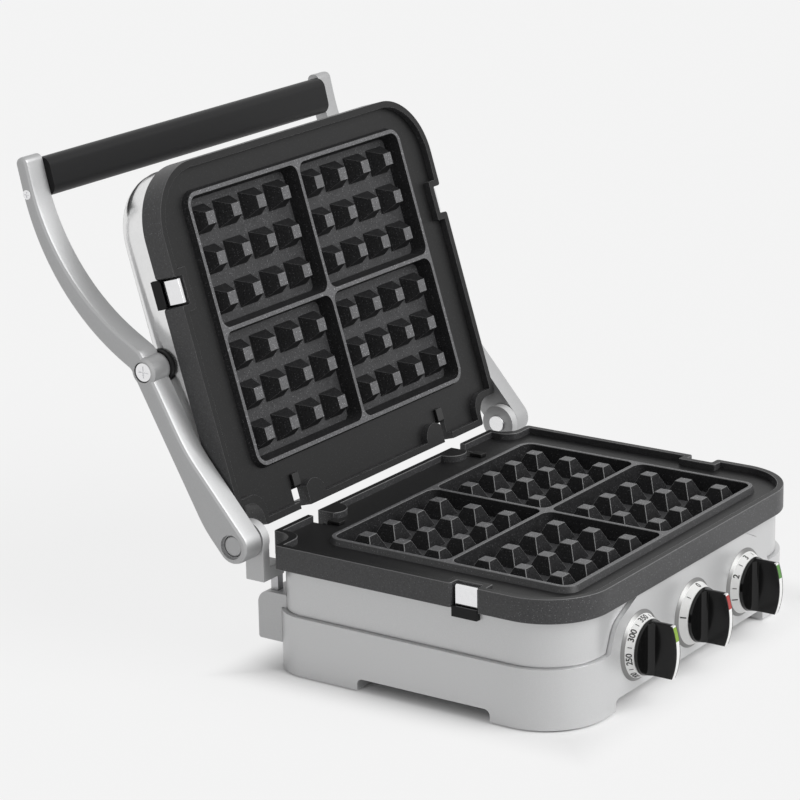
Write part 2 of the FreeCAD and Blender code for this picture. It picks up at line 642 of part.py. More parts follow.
def lower_case():
    """Tub with four hollow legs, a floor with a service opening, a ledge, screw posts and the front panel."""
    body = plan(case_outline(-TUB_GROW), LEG_Z, PARTING_Z).cut(arches(0.0))
    cavity = plan(case_outline(WALL - TUB_GROW), LEG_Z + LEG_FLOOR, PARTING_Z).cut(arches(WALL))
    body = body.cut(cavity)
    rim = plan(case_outline(-TUB_GROW), PARTING_Z - TUB_RIM, SKIRT_Z)
    rim = rim.cut(plan(case_outline(BAND_INNER), PARTING_Z - TUB_RIM, SKIRT_Z))
    ledge = rim.common(plan(case_outline(-TUB_GROW), PARTING_Z - TUB_RIM, PARTING_Z))
    panel = rim.common(front(panel_outline(0.0), PANEL_Y - 1.0, 0.0))
    backing = front(panel_outline(PANEL_BACKING), PANEL_BACK_Y, CONTROL_Y)
    backing = backing.common(block(-CASE_HALF_WIDTH, CASE_HALF_WIDTH, CASE_FRONT, CASE_BACK, PARTING_Z - WALL,
                                   SKIRT_Z - WALL))
    body = body.multiFuse([ledge, panel, backing])
    opening_x = COVER_HALF_WIDTH - COVER_LAP
    opening = block(-opening_x, opening_x, SIDE_ARCH_FRONT + COVER_MARGIN + COVER_LAP,
                    SIDE_ARCH_BACK - COVER_MARGIN - COVER_LAP, LEG_Z, CASE_FLOOR_TOP)
    body = body.cut(opening)
    for x, y in case_post_places():
        post = rod(CASE_POST_RADIUS, V(x, y, LEG_Z), V(x, y, PARTING_Z))
        head = rod(SCREW_HEAD_RADIUS + SCREW_CLEARANCE, V(x, y, LEG_Z), V(x, y, LEG_Z + LEG_FLOOR))
        shank = rod(SCREW_RADIUS + SCREW_CLEARANCE, V(x, y, LEG_Z), V(x, y, PARTING_Z))
        body = body.fuse(post).cut(head).cut(shank)
    for x, y in cover_screw_places():
        boss = rod(COVER_BOSS_RADIUS, V(x, y, ARCH_HEIGHT), V(x, y, CASE_FLOOR_TOP + COVER_BOSS))
        shank = rod(SCREW_RADIUS + SCREW_CLEARANCE, V(x, y, ARCH_HEIGHT), V(x, y, CASE_FLOOR_TOP + COVER_BOSS))
        body = body.fuse(boss).cut(shank)
    for x, y in foot_places():
        body = body.cut(rod(FOOT_RADIUS, V(x, y, LEG_Z), V(x, y, LEG_Z + FOOT_RECESS)))
    for name, x in DIAL_PLACES:
        body = body.cut(rod(BUSH_RADIUS + BUSH_CLEARANCE, V(x, PANEL_Y - 1.0, DIAL_Z), V(x, CONTROL_Y, DIAL_Z)))
    for x, z in tower_screw_places():
        body = body.cut(rod(SCREW_RADIUS + SCREW_CLEARANCE, V(x, TUB_BACK - 2 * WALL, z), V(x, TUB_BACK, z)))
    body = body.cut(rod(GLAND_RADIUS + SCREW_CLEARANCE, V(GLAND_X, TUB_BACK - 2 * WALL, GLAND_Z),
                        V(GLAND_X, TUB_BACK, GLAND_Z)))
    return body.removeSplitter()


def pocket_cut(grow):
    """Space of one clip pocket in the right-hand wall and flange."""
    half = pocket_half() + grow
    return block(pocket_inner() - grow, PLATE_HALF_WIDTH, CLIP_Y - half, CLIP_Y + half,
                 SKIRT_Z - POCKET_DEPTH - grow, SKIRT_Z)


def upper_case():
    """Band above the parting line with an inward flange that carries the plate and the reflector."""
    body = plan(case_outline(BAND_INSET), PARTING_Z, SKIRT_Z)
    body = body.cut(plan(case_outline(BAND_INNER), PARTING_Z, SKIRT_Z - WALL))
    body = body.cut(plan(case_outline(FLANGE_INSET), SKIRT_Z - 2 * WALL, SKIRT_Z))
    body = body.cut(front(panel_outline(PANEL_GAP), PANEL_Y, PANEL_BACK_Y))
    for x, y in case_post_places():
        post = rod(CASE_POST_RADIUS, V(x, y, PARTING_Z), V(x, y, SKIRT_Z - WALL))
        bore = rod(SCREW_RADIUS + SCREW_CLEARANCE, V(x, y, PARTING_Z), V(x, y, PARTING_Z + SCREW_GRIP))
        body = body.fuse(post).cut(bore)
    cut = pocket_cut(POCKET_FIT)
    body = body.cut(cut).cut(mirrored(cut)).cut(parting_groove())
    return body.removeSplitter()


def bottom_cover():
    """Vented service plate screwed up against the floor of the tub."""
    y0 = SIDE_ARCH_FRONT + COVER_MARGIN
    y1 = SIDE_ARCH_BACK - COVER_MARGIN
    z1 = ARCH_HEIGHT
    z0 = z1 - COVER_THICK
    body = plan(rectangle(-COVER_HALF_WIDTH, COVER_HALF_WIDTH, y0, y1, EDGE_RADIUS * 2), z0, z1)
    middle = (y0 + y1) / 2
    for i in range(VENT_COUNT):
        x = (i - (VENT_COUNT - 1) / 2) * VENT_PITCH
        slot = rectangle(x - VENT_WIDTH / 2, x + VENT_WIDTH / 2, middle - VENT_LENGTH / 2,
                         middle + VENT_LENGTH / 2, VENT_WIDTH * 0.49)
        body = body.cut(plan(slot, z0, z1))
    for x, y in cover_screw_places():
        body = body.cut(rod(SCREW_RADIUS + SCREW_CLEARANCE, V(x, y, z0), V(x, y, z1)))
    return body


def rubber_feet():
    feet = [rod(FOOT_RADIUS, V(x, y, 0), V(x, y, LEG_Z + FOOT_RECESS)) for x, y in foot_places()]
    return Part.makeCompound(feet)


def screw(head_radius, head, shank_radius, begin, tip):
    """Cross-head screw: its head starts at begin and its shank ends at tip."""
    along = (tip - begin).normalize()
    body = rod(head_radius, begin, begin + along * head).fuse(rod(shank_radius, begin, tip)).removeSplitter()
    return body.cut(cross_recess(head_radius, begin, along))


def cross_recess(head_radius, begin, along):
    """Space of the driver's cross in a screw head, going in from begin."""
    reach = head_radius * RECESS_SHARE
    half = RECESS_WIDTH / 2
    cross = block(-reach, reach, -half, half, 0, RECESS_DEPTH)
    cross = cross.fuse(block(-half, half, -reach, reach, 0, RECESS_DEPTH))
    cross.Placement = FreeCAD.Placement(begin, FreeCAD.Rotation(Z_AXIS, along))
    return cross


def base_screws():
    """Screws of the housing halves, the bottom cover and the hinge towers."""
    screws = []
    for x, y in case_post_places():
        z0 = LEG_Z + LEG_FLOOR - SCREW_HEAD
        screws.append(screw(SCREW_HEAD_RADIUS, SCREW_HEAD, SCREW_RADIUS, V(x, y, z0),
                            V(x, y, PARTING_Z + SCREW_GRIP - 1.0)))
    for x, y in cover_screw_places():
        z0 = ARCH_HEIGHT - COVER_THICK - SCREW_HEAD
        screws.append(screw(SCREW_HEAD_RADIUS, SCREW_HEAD, SCREW_RADIUS, V(x, y, z0),
                            V(x, y, CASE_FLOOR_TOP + COVER_BOSS - 1.0)))
    for x, z in tower_screw_places():
        y0 = TUB_BACK - WALL - SCREW_HEAD
        screws.append(screw(SCREW_HEAD_RADIUS, SCREW_HEAD, SCREW_RADIUS, V(x, y0, z),
                            V(x, CASE_BACK + TOWER_RADIUS - 1.0, z)))
    return Part.makeCompound(screws)


# Controls on the front panel
def control(x, depth):
    """Thermostat or switch body behind the panel, with a bush that the shaft turns in."""
    body = front(rectangle(x - CONTROL_HALF, x + CONTROL_HALF, DIAL_Z - CONTROL_HALF, DIAL_Z + CONTROL_HALF,
                           EDGE_RADIUS), CONTROL_Y, CONTROL_Y + depth)
    bush = rod(BUSH_RADIUS, V(x, PANEL_Y, DIAL_Z), V(x, CONTROL_Y + WALL, DIAL_Z))
    bore = rod(SHAFT_RADIUS + SHAFT_CLEARANCE, V(x, PANEL_Y - 1.0, DIAL_Z),
               V(x, CONTROL_Y + SHAFT_IN_CONTROL + KNOB_CLEARANCE, DIAL_Z))
    return body.fuse(bush).cut(bore).removeSplitter()


def knob_shaft(x):
    y0 = KNOB_BACK_Y - SHAFT_IN_KNOB
    return rod(SHAFT_RADIUS, V(x, y0, DIAL_Z), V(x, CONTROL_Y + SHAFT_IN_CONTROL, DIAL_Z))


def dial_ring(x):
    """Dial: a low sloping rim and a steeper cone for the numbers, bored for the hub of the knob."""
    forwards = V(0, -1, 0)
    rim = Part.makeCone(DIAL_RADIUS, DIAL_RIM_RADIUS, DIAL_RIM, V(x, PANEL_Y, DIAL_Z), forwards)
    face = Part.makeCone(DIAL_RIM_RADIUS, DIAL_FACE_RADIUS, DIAL_THICK - DIAL_RIM,
                         V(x, PANEL_Y - DIAL_RIM, DIAL_Z), forwards)
    hole = rod(HUB_RADIUS + KNOB_CLEARANCE, V(x, PANEL_Y + 1.0, DIAL_Z), V(x, DIAL_FACE_Y - 1.0, DIAL_Z))
    return rim.fuse(face).cut(hole)


def blade_profile(x, half, setback):
    """Upright D-shaped blade of a knob, its curved edge to the front, moved back by setback."""
    back = KNOB_FACE_Y + KNOB_DISC / 2
    corner = KNOB_FACE_Y - BLADE_CORNER + setback
    apex = corner - BLADE_BULGE
    tip = KNOB_RADIUS
    low = V(x - half, corner, DIAL_Z - tip)
    high = V(x - half, corner, DIAL_Z + tip)
    root_low = V(x - half, back, DIAL_Z - tip)
    root_high = V(x - half, back, DIAL_Z + tip)
    edges = [Part.LineSegment(root_low, low).toShape(),
             Part.Arc(low, V(x - half, apex, DIAL_Z), high).toShape(),
             Part.LineSegment(high, root_high).toShape(), Part.LineSegment(root_high, root_low).toShape()]
    return Part.Face(Part.Wire(edges)).extrude(V(2 * half, 0, 0))


def knob_strip(x):
    """Pale strip let into the front edge of the blade."""
    half = STRIP_WIDTH / 2
    strip = blade_profile(x, half, 0.0).cut(blade_profile(x, half, STRIP_THICK))
    return strip.common(knob_envelope(x))


def knob_envelope(x):
    reach = 2 * (BLADE_CORNER + BLADE_BULGE)
    return rod(KNOB_RADIUS - KNOB_TAPER, V(x, KNOB_BACK_Y, DIAL_Z), V(x, KNOB_BACK_Y - reach, DIAL_Z))


def blade_root(x):
    """Hollow curves that lead from the disc of a knob into both sides of its blade."""
    reach = BLADE_THICK / 2 + BLADE_FILLET
    low = DIAL_Z - KNOB_RADIUS
    high = DIAL_Z + KNOB_RADIUS
    top_y = KNOB_FACE_Y - BLADE_FILLET
    body = block(x - reach, x + reach, top_y, KNOB_FACE_Y + KNOB_DISC / 2, low, high)
    for sx in (-1, 1):
        body = body.cut(rod(BLADE_FILLET, V(x + sx * reach, top_y, low), V(x + sx * reach, top_y, high)))
    return body


def knob(x):
    """Thin disc with an upright blade in front and a hub behind, which takes the shaft."""
    disc = Part.makeCone(KNOB_RADIUS, KNOB_RADIUS - KNOB_TAPER, KNOB_DISC, V(x, KNOB_BACK_Y, DIAL_Z),
                         V(0, -1, 0))
    blade = blade_profile(x, BLADE_THICK / 2, 0.0).fuse(blade_root(x)).common(knob_envelope(x))
    hub = rod(HUB_RADIUS, V(x, PANEL_Y - KNOB_CLEARANCE, DIAL_Z), V(x, KNOB_BACK_Y - KNOB_DISC / 2, DIAL_Z))
    bore = rod(SHAFT_RADIUS + SHAFT_CLEARANCE, V(x, PANEL_Y, DIAL_Z),
               V(x, KNOB_BACK_Y - SHAFT_IN_KNOB - KNOB_CLEARANCE, DIAL_Z))
    return disc.multiFuse([blade, hub]).cut(knob_strip(x)).cut(bore).removeSplitter()


# Heating
HEATER_Z = STUD_Z - STUD_HEIGHT - PLATE_FLOOR - HEATER_GAP - HEATER_RADIUS
REFLECTOR_Z = SKIRT_Z - REFLECTOR_DEPTH


def heating_element():
    """Tubular element bent round under the wells, with two straight tails to the front."""
    hx = HEATER_HALF_X
    hy = HEATER_HALF_Y
    tx = HEATER_TAIL_X
    bend = HEATER_BEND
    route = [(-tx, -HEATER_TAIL_Y), (-tx, -hy), (-hx, -hy), (-hx, hy), (hx, hy), (hx, -hy), (tx, -hy),
             (tx, -HEATER_TAIL_Y)]
    radii = [0, bend / 2, bend, bend, bend, bend, bend / 2, 0]
    points = [V(a, b, HEATER_Z) for a, b in route]
    edges = []
    last = points[0]
    for i in range(1, len(points) - 1):
        back = (points[i - 1] - points[i]).normalize()
        ahead = (points[i + 1] - points[i]).normalize()
        begin = points[i] + back * radii[i]
        end = points[i] + ahead * radii[i]
        middle = points[i] + (back + ahead).normalize() * (radii[i] * (math.sqrt(2) - 1))
        edges.append(Part.LineSegment(last, begin).toShape())
        edges.append(Part.Arc(begin, middle, end).toShape())
        last = end
    edges.append(Part.LineSegment(last, points[-1]).toShape())
    section = Part.Wire(Part.makeCircle(HEATER_RADIUS, points[0], V(0, 1, 0)))
    return Part.Wire(edges).makePipeShell([section], True, False)


def reflector():
    """Sheet pan below the element, its rim lying on the flange."""
    inset = FLANGE_INSET + SHEET
    rim_z = SKIRT_Z + SHEET
    pan = plan(case_outline(inset), REFLECTOR_Z, rim_z)
    pan = pan.cut(plan(case_outline(inset + SHEET), REFLECTOR_Z + SHEET, rim_z))
    rim = plan(case_outline(WALL + FLANGE_WIDTH * 0.8), SKIRT_Z, rim_z)
    rim = rim.cut(plan(case_outline(inset + SHEET), SKIRT_Z, rim_z))
    return pan.fuse(rim).removeSplitter()


def heater_clamps():
    """Saddles that stand on the pan under the element, and the two ceramic end blocks."""
    z0 = REFLECTOR_Z + SHEET
    z1 = HEATER_Z - HEATER_RADIUS - CLAMP_GAP
    places = [(sx * HEATER_HALF_X, sy * HEATER_HALF_Y / 2) for sx in (-1, 1) for sy in (-1, 1)]
    places += [(-HEATER_HALF_X / 2, HEATER_HALF_Y), (HEATER_HALF_X / 2, HEATER_HALF_Y)]
    clamps = [block(x - CLAMP_LENGTH / 2, x + CLAMP_LENGTH / 2, y - CLAMP_WIDTH / 2, y + CLAMP_WIDTH / 2, z0, z1)
              for x, y in places]
    end_y = -HEATER_TAIL_Y + CLAMP_LENGTH
    for sx in (-1, 1):
        x = sx * HEATER_TAIL_X
        ceramic = block(x - CLAMP_WIDTH / 2, x + CLAMP_WIDTH / 2, end_y - CLAMP_LENGTH / 2, end_y, z0,
                        HEATER_Z + HEATER_RADIUS / 2)
        bore = rod(HEATER_RADIUS + CLAMP_GAP, V(x, end_y - CLAMP_LENGTH, HEATER_Z), V(x, end_y + 1.0, HEATER_Z))
        clamps.append(ceramic.cut(bore))
    return Part.makeCompound(clamps)


def terminal_block():
    """Screw terminal strip on the floor behind the cord entry."""
    x0 = TERMINAL_X - TERMINAL_LENGTH / 2
    body = block(x0, x0 + TERMINAL_LENGTH, TERMINAL_Y - TERMINAL_WIDTH / 2, TERMINAL_Y + TERMINAL_WIDTH / 2,
                 CASE_FLOOR_TOP, CASE_FLOOR_TOP + TERMINAL_HEIGHT)
    step = TERMINAL_LENGTH / TERMINAL_WAYS
    top = CASE_FLOOR_TOP + TERMINAL_HEIGHT
    for i in range(TERMINAL_WAYS):
        x = x0 + step * (i + 0.5)
        body = body.cut(rod(step / 4, V(x, TERMINAL_Y, top - step / 2), V(x, TERMINAL_Y, top + 1.0)))
    return body


def cord_gland():
    """Round cord entry in the back wall: a neck through the wall between two flanges."""
    y0 = TUB_BACK - WALL
    neck = rod(GLAND_RADIUS, V(GLAND_X, y0 - GLAND_FLANGE, GLAND_Z),
               V(GLAND_X, TUB_BACK + GLAND_FLANGE, GLAND_Z))
    big = GLAND_RADIUS + GLAND_FLANGE
    inner = rod(big, V(GLAND_X, y0 - GLAND_FLANGE, GLAND_Z), V(GLAND_X, y0, GLAND_Z))
    outer = rod(big, V(GLAND_X, TUB_BACK, GLAND_Z), V(GLAND_X, TUB_BACK + GLAND_FLANGE, GLAND_Z))
    bore = rod(GLAND_BORE, V(GLAND_X, y0 - GLAND_FLANGE - 1.0, GLAND_Z),
               V(GLAND_X, TUB_BACK + GLAND_FLANGE + 1.0, GLAND_Z))
    return neck.multiFuse([inner, outer]).cut(bore).removeSplitter()


# Plate release clips, drawn on the right-hand side of the base
def pocket_half():
    return CLIP_WIDTH / 2 + CLIP_SIDE_GAP + POCKET_WALL


def pocket_inner():
    return CLIP_PIVOT_X - CLIP_EYE_RADIUS - CLIP_SIDE_GAP - POCKET_WALL


def clip_pocket():
    """Black moulded pocket round the foot of a clip, with cheeks that hold its pin."""
    half = pocket_half()
    inner = pocket_inner()
    outer = CLIP_FACE_X + POCKET_FRONT_GAP + POCKET_OUTER_WALL
    bottom = SKIRT_Z - POCKET_DEPTH
    body = block(inner, outer, CLIP_Y - half, CLIP_Y + half, bottom, SKIRT_Z)
    rise_x = CLIP_NOTCH_X + CLIP_TOOTH
    body = body.fuse(block(rise_x, outer, CLIP_Y - half, CLIP_Y + half, SKIRT_Z, SKIRT_Z + POCKET_RISE))
    body = body.cut(block(inner + POCKET_WALL, outer - POCKET_OUTER_WALL, CLIP_Y - half + POCKET_WALL,
                          CLIP_Y + half - POCKET_WALL, bottom + POCKET_FLOOR, SKIRT_Z + POCKET_RISE))
    body = body.cut(block(inner, inner + POCKET_WALL, CLIP_Y - half + POCKET_WALL, CLIP_Y + half - POCKET_WALL,
                          bottom + POCKET_FLOOR, SKIRT_Z))
    hole = rod(CLIP_PIN_RADIUS + CLIP_PIN_CLEARANCE, V(CLIP_PIVOT_X, CLIP_Y - half, CLIP_PIVOT_Z),
               V(CLIP_PIVOT_X, CLIP_Y + half, CLIP_PIVOT_Z))
    return body.cut(hole).removeSplitter()


def clip_pin():
    half = pocket_half()
    return rod(CLIP_PIN_RADIUS, V(CLIP_PIVOT_X, CLIP_Y - half, CLIP_PIVOT_Z),
               V(CLIP_PIVOT_X, CLIP_Y + half, CLIP_PIVOT_Z))


def clip_spring():
    """Torsion spring on the pin between the two eyes of a clip, as a plain sleeve."""
    half = CLIP_WIDTH / 2 - CLIP_EYE_WIDTH - CLIP_SIDE_GAP
    return tube(CLIP_SPRING_RADIUS, CLIP_PIN_RADIUS + CLIP_PIN_CLEARANCE,
                V(CLIP_PIVOT_X, CLIP_Y - half, CLIP_PIVOT_Z), V(CLIP_PIVOT_X, CLIP_Y + half, CLIP_PIVOT_Z))


def clip():
    """Folded sheet clip: an upright face, a hook at the top and two eyes on the pin."""
    face = CLIP_FACE_X
    top = STUD_Z - CLIP_TOP_DROP
    foot = CLIP_PIVOT_Z - CLIP_FOOT
    corners = [(face, foot, 0), (face, top, CLIP_THICK * 0.8), (face - CLIP_HOOK, top, 0),
               (face - CLIP_HOOK, top - CLIP_THICK, 0), (face - CLIP_THICK, top - CLIP_THICK, 0),
               (face - CLIP_THICK, foot, 0)]
    body = front(corners, CLIP_Y - CLIP_WIDTH / 2, CLIP_Y + CLIP_WIDTH / 2)
    for sy in (-1, 1):
        y0, y1 = sorted((CLIP_Y + sy * CLIP_WIDTH / 2, CLIP_Y + sy * (CLIP_WIDTH / 2 - CLIP_EYE_WIDTH)))
        eye = rod(CLIP_EYE_RADIUS, V(CLIP_PIVOT_X, y0, CLIP_PIVOT_Z), V(CLIP_PIVOT_X, y1, CLIP_PIVOT_Z))
        web = block(CLIP_PIVOT_X, face - CLIP_THICK / 2, y0, y1, foot, CLIP_PIVOT_Z + CLIP_FOOT)
        body = body.multiFuse([eye, web])
    bore = rod(CLIP_PIN_RADIUS + CLIP_PIN_CLEARANCE, V(CLIP_PIVOT_X, CLIP_Y - CLIP_WIDTH, CLIP_PIVOT_Z),
               V(CLIP_PIVOT_X, CLIP_Y + CLIP_WIDTH, CLIP_PIVOT_Z))
    return body.cut(bore).removeSplitter()


# Floating hinge, drawn on the right-hand side
def hinge_tower():
    """Sleeve block on the back corner of the base, fitted round the housing, with a square bore."""
    corners = [(CASE_BACK - CASE_RADIUS_BACK, TOWER_Z, 0), (TOWER_BACK, TOWER_Z, EDGE_RADIUS),
               (TOWER_BACK, TOWER_TOP, TOWER_RADIUS), (CASE_BACK - CASE_RADIUS_BACK, TOWER_TOP, 0)]
    body = side(corners, TOWER_INNER, TOWER_OUTER)
    body = body.cut(plan(case_outline(-TUB_GROW), TOWER_Z, PARTING_Z))
    body = body.cut(plan(case_outline(BAND_INSET), PARTING_Z, TOWER_TOP))
    half = POST_SIDE / 2 + POST_CLEARANCE
    bore = block(POST_X - half, POST_X + half, POST_Y - half, POST_Y + half, TOWER_Z + TOWER_FLOOR, TOWER_TOP)
    body = body.cut(bore)
    for x, z in tower_screw_places():
        if x > 0:
            body = body.cut(rod(SCREW_RADIUS + SCREW_CLEARANCE, V(x, CASE_BACK - WALL, z),
                                V(x, CASE_BACK + TOWER_RADIUS, z)))
    return body.removeSplitter()


def hinge_bracket():
    """Upright ear with the hinge eye, on a foot that carries the sliding post."""
    front_y = HINGE_Y - EAR_RADIUS + 0.5
    back_y = front_y + EAR_WIDTH
    top = FOOT_BLOCK_Z + FOOT_BLOCK_HEIGHT
    eye = rod(EAR_RADIUS, V(EAR_INNER, HINGE_Y, HINGE_Z), V(EAR_OUTER, HINGE_Y, HINGE_Z))
    ear = block(EAR_INNER, EAR_OUTER, front_y, back_y, FOOT_BLOCK_Z, HINGE_Z)
    foot = block(FOOT_BLOCK_INNER, EAR_OUTER, front_y, back_y, FOOT_BLOCK_Z, top)
    body = eye.multiFuse([ear, foot])
    half = POST_SIDE / 2
    socket = block(POST_X - half, POST_X + half, POST_Y - half, POST_Y + half, FOOT_BLOCK_Z, top - EDGE_RADIUS)
    pin = rod(HINGE_PIN_RADIUS, V(EAR_INNER - 1.0, HINGE_Y, HINGE_Z), V(EAR_OUTER + 1.0, HINGE_Y, HINGE_Z))
    return body.cut(socket).cut(pin).removeSplitter()


def hinge_post():
    """Square post that slides in the tower and rests on the tower's floor."""
    half = POST_SIDE / 2
    return block(POST_X - half, POST_X + half, POST_Y - half, POST_Y + half, TOWER_Z + TOWER_FLOOR,
                 FOOT_BLOCK_Z + FOOT_BLOCK_HEIGHT - EDGE_RADIUS)


def hinge_pin():
    """Shouldered pin fixed in the ear; the arm turns on its outer end."""
    head = rod(HINGE_PIN_HEAD_RADIUS, V(EAR_INNER - HINGE_PIN_HEAD, HINGE_Y, HINGE_Z),
               V(EAR_INNER, HINGE_Y, HINGE_Z))
    shank = rod(HINGE_PIN_RADIUS, V(EAR_INNER, HINGE_Y, HINGE_Z), V(ARM_OUTER - CAP_RECESS, HINGE_Y, HINGE_Z))
    return head.fuse(shank).removeSplitter()


# Arms and handle, drawn on the right-hand side with the lid open
def arm_skeleton():
    """Middle line of an arm from hinge to handle, as points in y and z."""
    foot = math.radians(ARM_FOOT_ANGLE)
    bend = (HINGE_Y + ARM_FOOT_LENGTH * math.cos(foot), HINGE_Z + ARM_FOOT_LENGTH * math.sin(foot))
    knee = (PIVOT.y + ARM_KNEE_DY, PIVOT.z + ARM_KNEE_DZ)
    bow = (GRIP.y - ARM_BOW_DY, GRIP.z - ARM_BOW_DZ)
    reach = ARM_BOW_DZ + ARM_TOP
    end = (bow[0] + (GRIP.y - bow[0]) * reach / ARM_BOW_DZ + arm_end_shift(), bow[1] + reach)
    return [(HINGE_Y, HINGE_Z), bend, knee, bow, end]


def arm_end_shift():
    """How far the arm's middle line passes behind the middle of the grip."""
    return (GRIP_THICK - ARM_END_WIDTH) / 2


def offset_line(begin, end, distance):
    """A line moved sideways: its point and direction, positive to the right of travel."""
    run = V(end[0] - begin[0], end[1] - begin[1], 0).normalize()
    away = V(run.y, -run.x, 0) * distance
    return V(begin[0], begin[1], 0) + away, run


def crossing(first, second):
    """Where two lines meet."""
    p, u = first
    q, v = second
    across = u.x * v.y - u.y * v.x
    along = ((q.x - p.x) * v.y - (q.y - p.y) * v.x) / across
    return p + u * along


def arm_outline(inset):
    """Edge of an arm in y and z: the middle line widened on both sides, moved inwards by inset."""
    middle = arm_skeleton()
    widths = [2 * ARM_BOSS_RADIUS, ARM_LEG_WIDTH, ARM_BOW_WIDTH, ARM_END_WIDTH]
    back_radii = [80.0, 6.0, ARM_BOW_RADIUS_BACK]
    front_radii = [120.0, 10.0, ARM_BOW_RADIUS_FRONT]
    edges = {}
    for sign in (1, -1):
        edges[sign] = [offset_line(middle[i], middle[i + 1], sign * (widths[i] / 2 - inset)) for i in range(4)]
    heel = ARM_BOSS_RADIUS - inset
    start, run = offset_line(middle[0], middle[1], 0.0)
    heel_line = (start - run * heel, V(run.y, -run.x, 0))
    end_run = offset_line(middle[3], middle[4], 0.0)[1]
    end_line = (V(middle[4][0], middle[4][1], 0) - end_run * inset, V(end_run.y, -end_run.x, 0))
    end_round = (ARM_END_WIDTH / 2 - inset) * 0.9
    corners = []
    heel_back = crossing(edges[1][0], heel_line)
    corners.append((heel_back.x, heel_back.y, heel * 0.999))
    for i in range(3):
        meet = crossing(edges[1][i], edges[1][i + 1])
        corners.append((meet.x, meet.y, back_radii[i]))
    top_back = crossing(edges[1][3], end_line)
    top_front = crossing(edges[-1][3], end_line)
    corners.append((top_back.x, top_back.y, end_round))
    corners.append((top_front.x, top_front.y, end_round))
    for i in (2, 1, 0):
        meet = crossing(edges[-1][i], edges[-1][i + 1])
        corners.append((meet.x, meet.y, front_radii[i]))
    heel_front = crossing(edges[-1][0], heel_line)
    corners.append((heel_front.x, heel_front.y, heel * 0.999))
    return corners


def arm_loft(inset0, x0, inset1, x1):
    wires = [rounded_wire(arm_outline(inset0), lambda a, b: V(x0, a, b)),
             rounded_wire(arm_outline(inset1), lambda a, b: V(x1, a, b))]
    return Part.makeLoft(wires, True, True)


def handle_screw_place():
    run = offset_line(*arm_skeleton()[3:5], 0.0)[1]
    return V(0, GRIP.y + arm_end_shift() - run.x * HANDLE_SCREW_DROP, GRIP.z - run.y * HANDLE_SCREW_DROP)


def arm():
    """Cast side arm with rounded outer edges, a hinge eye, a knee boss for the lid pivot and screw seats."""
    soft = ARM_ROUNDING
    face = ARM_OUTER
    body = side(arm_outline(0.0), ARM_INNER, face - soft)
    steps = [(0.0, soft), (0.13 * soft, 0.5 * soft), (0.5 * soft, 0.13 * soft), (soft, 0.0)]
    for low, high in zip(steps, steps[1:]):
        body = body.fuse(arm_loft(low[0], face - low[1], high[0], face - high[1]))
    boss_low = rod(KNEE_BOSS_RADIUS, V(ARM_INNER, PIVOT.y, PIVOT.z), V(face - soft / 2, PIVOT.y, PIVOT.z))
    boss_high = Part.makeCone(KNEE_BOSS_RADIUS, KNEE_BOSS_RADIUS - soft / 2, soft / 2,
                              V(face - soft / 2, PIVOT.y, PIVOT.z), X_AXIS)
    body = body.multiFuse([boss_low, boss_high])
    eye = rod(HINGE_PIN_RADIUS + HINGE_PIN_CLEARANCE, V(ARM_INNER - 1.0, HINGE_Y, HINGE_Z),
              V(face + 1.0, HINGE_Y, HINGE_Z))
    cap_seat = rod(CAP_RADIUS + CAP_RING, V(face - CAP_RECESS / 2, HINGE_Y, HINGE_Z),
                   V(face + 1.0, HINGE_Y, HINGE_Z))
    cap_well = rod(CAP_RADIUS + CAP_CLEARANCE, V(face - CAP_RECESS, HINGE_Y, HINGE_Z),
                   V(face + 1.0, HINGE_Y, HINGE_Z))
    pivot_bore = rod(PIVOT_SCREW_RADIUS, V(ARM_INNER - 1.0, PIVOT.y, PIVOT.z), V(face, PIVOT.y, PIVOT.z))
    pivot_seat = rod(PIVOT_HEAD_RADIUS + PIVOT_HEAD_CLEARANCE, V(face - PIVOT_RECESS, PIVOT.y, PIVOT.z),
                     V(face + 1.0, PIVOT.y, PIVOT.z))
    at = handle_screw_place()
    screw_bore = rod(HANDLE_SCREW_RADIUS + SCREW_CLEARANCE, V(ARM_INNER - 1.0, at.y, at.z),
                     V(face + 1.0, at.y, at.z))
    screw_seat = rod(HANDLE_SCREW_HEAD_RADIUS + SCREW_CLEARANCE, V(face - HANDLE_SCREW_HEAD, at.y, at.z),
                     V(face + 1.0, at.y, at.z))
    for tool in (eye, cap_seat, cap_well, pivot_bore, pivot_seat, screw_bore, screw_seat):
        body = body.cut(tool)
    return body.removeSplitter()


def hinge_cap():
    """Round cover over the outer end of the hinge pin."""
    x0 = ARM_OUTER - CAP_RECESS
    low = rod(CAP_RADIUS, V(x0, HINGE_Y, HINGE_Z), V(x0 + CAP_THICK * 0.7, HINGE_Y, HINGE_Z))
    high = Part.makeCone(CAP_RADIUS, CAP_RADIUS - CAP_THICK * 0.3, CAP_THICK * 0.3,
                         V(x0 + CAP_THICK * 0.7, HINGE_Y, HINGE_Z), X_AXIS)
    return low.fuse(high).removeSplitter()


def lid_pivot_screw():
    """Shoulder screw through the arm's knee, on which the lid rocks."""
    x1 = ARM_OUTER - PIVOT_RECESS
    head = rod(PIVOT_HEAD_RADIUS, V(x1, PIVOT.y, PIVOT.z), V(x1 + PIVOT_HEAD, PIVOT.y, PIVOT.z))
    shank = rod(PIVOT_SCREW_RADIUS, V(PIVOT_BLOCK_INNER + WALL, PIVOT.y, PIVOT.z), V(x1, PIVOT.y, PIVOT.z))
    recess = cross_recess(PIVOT_HEAD_RADIUS, V(x1 + PIVOT_HEAD, PIVOT.y, PIVOT.z), V(-1, 0, 0))
    return head.fuse(shank).removeSplitter().cut(recess)


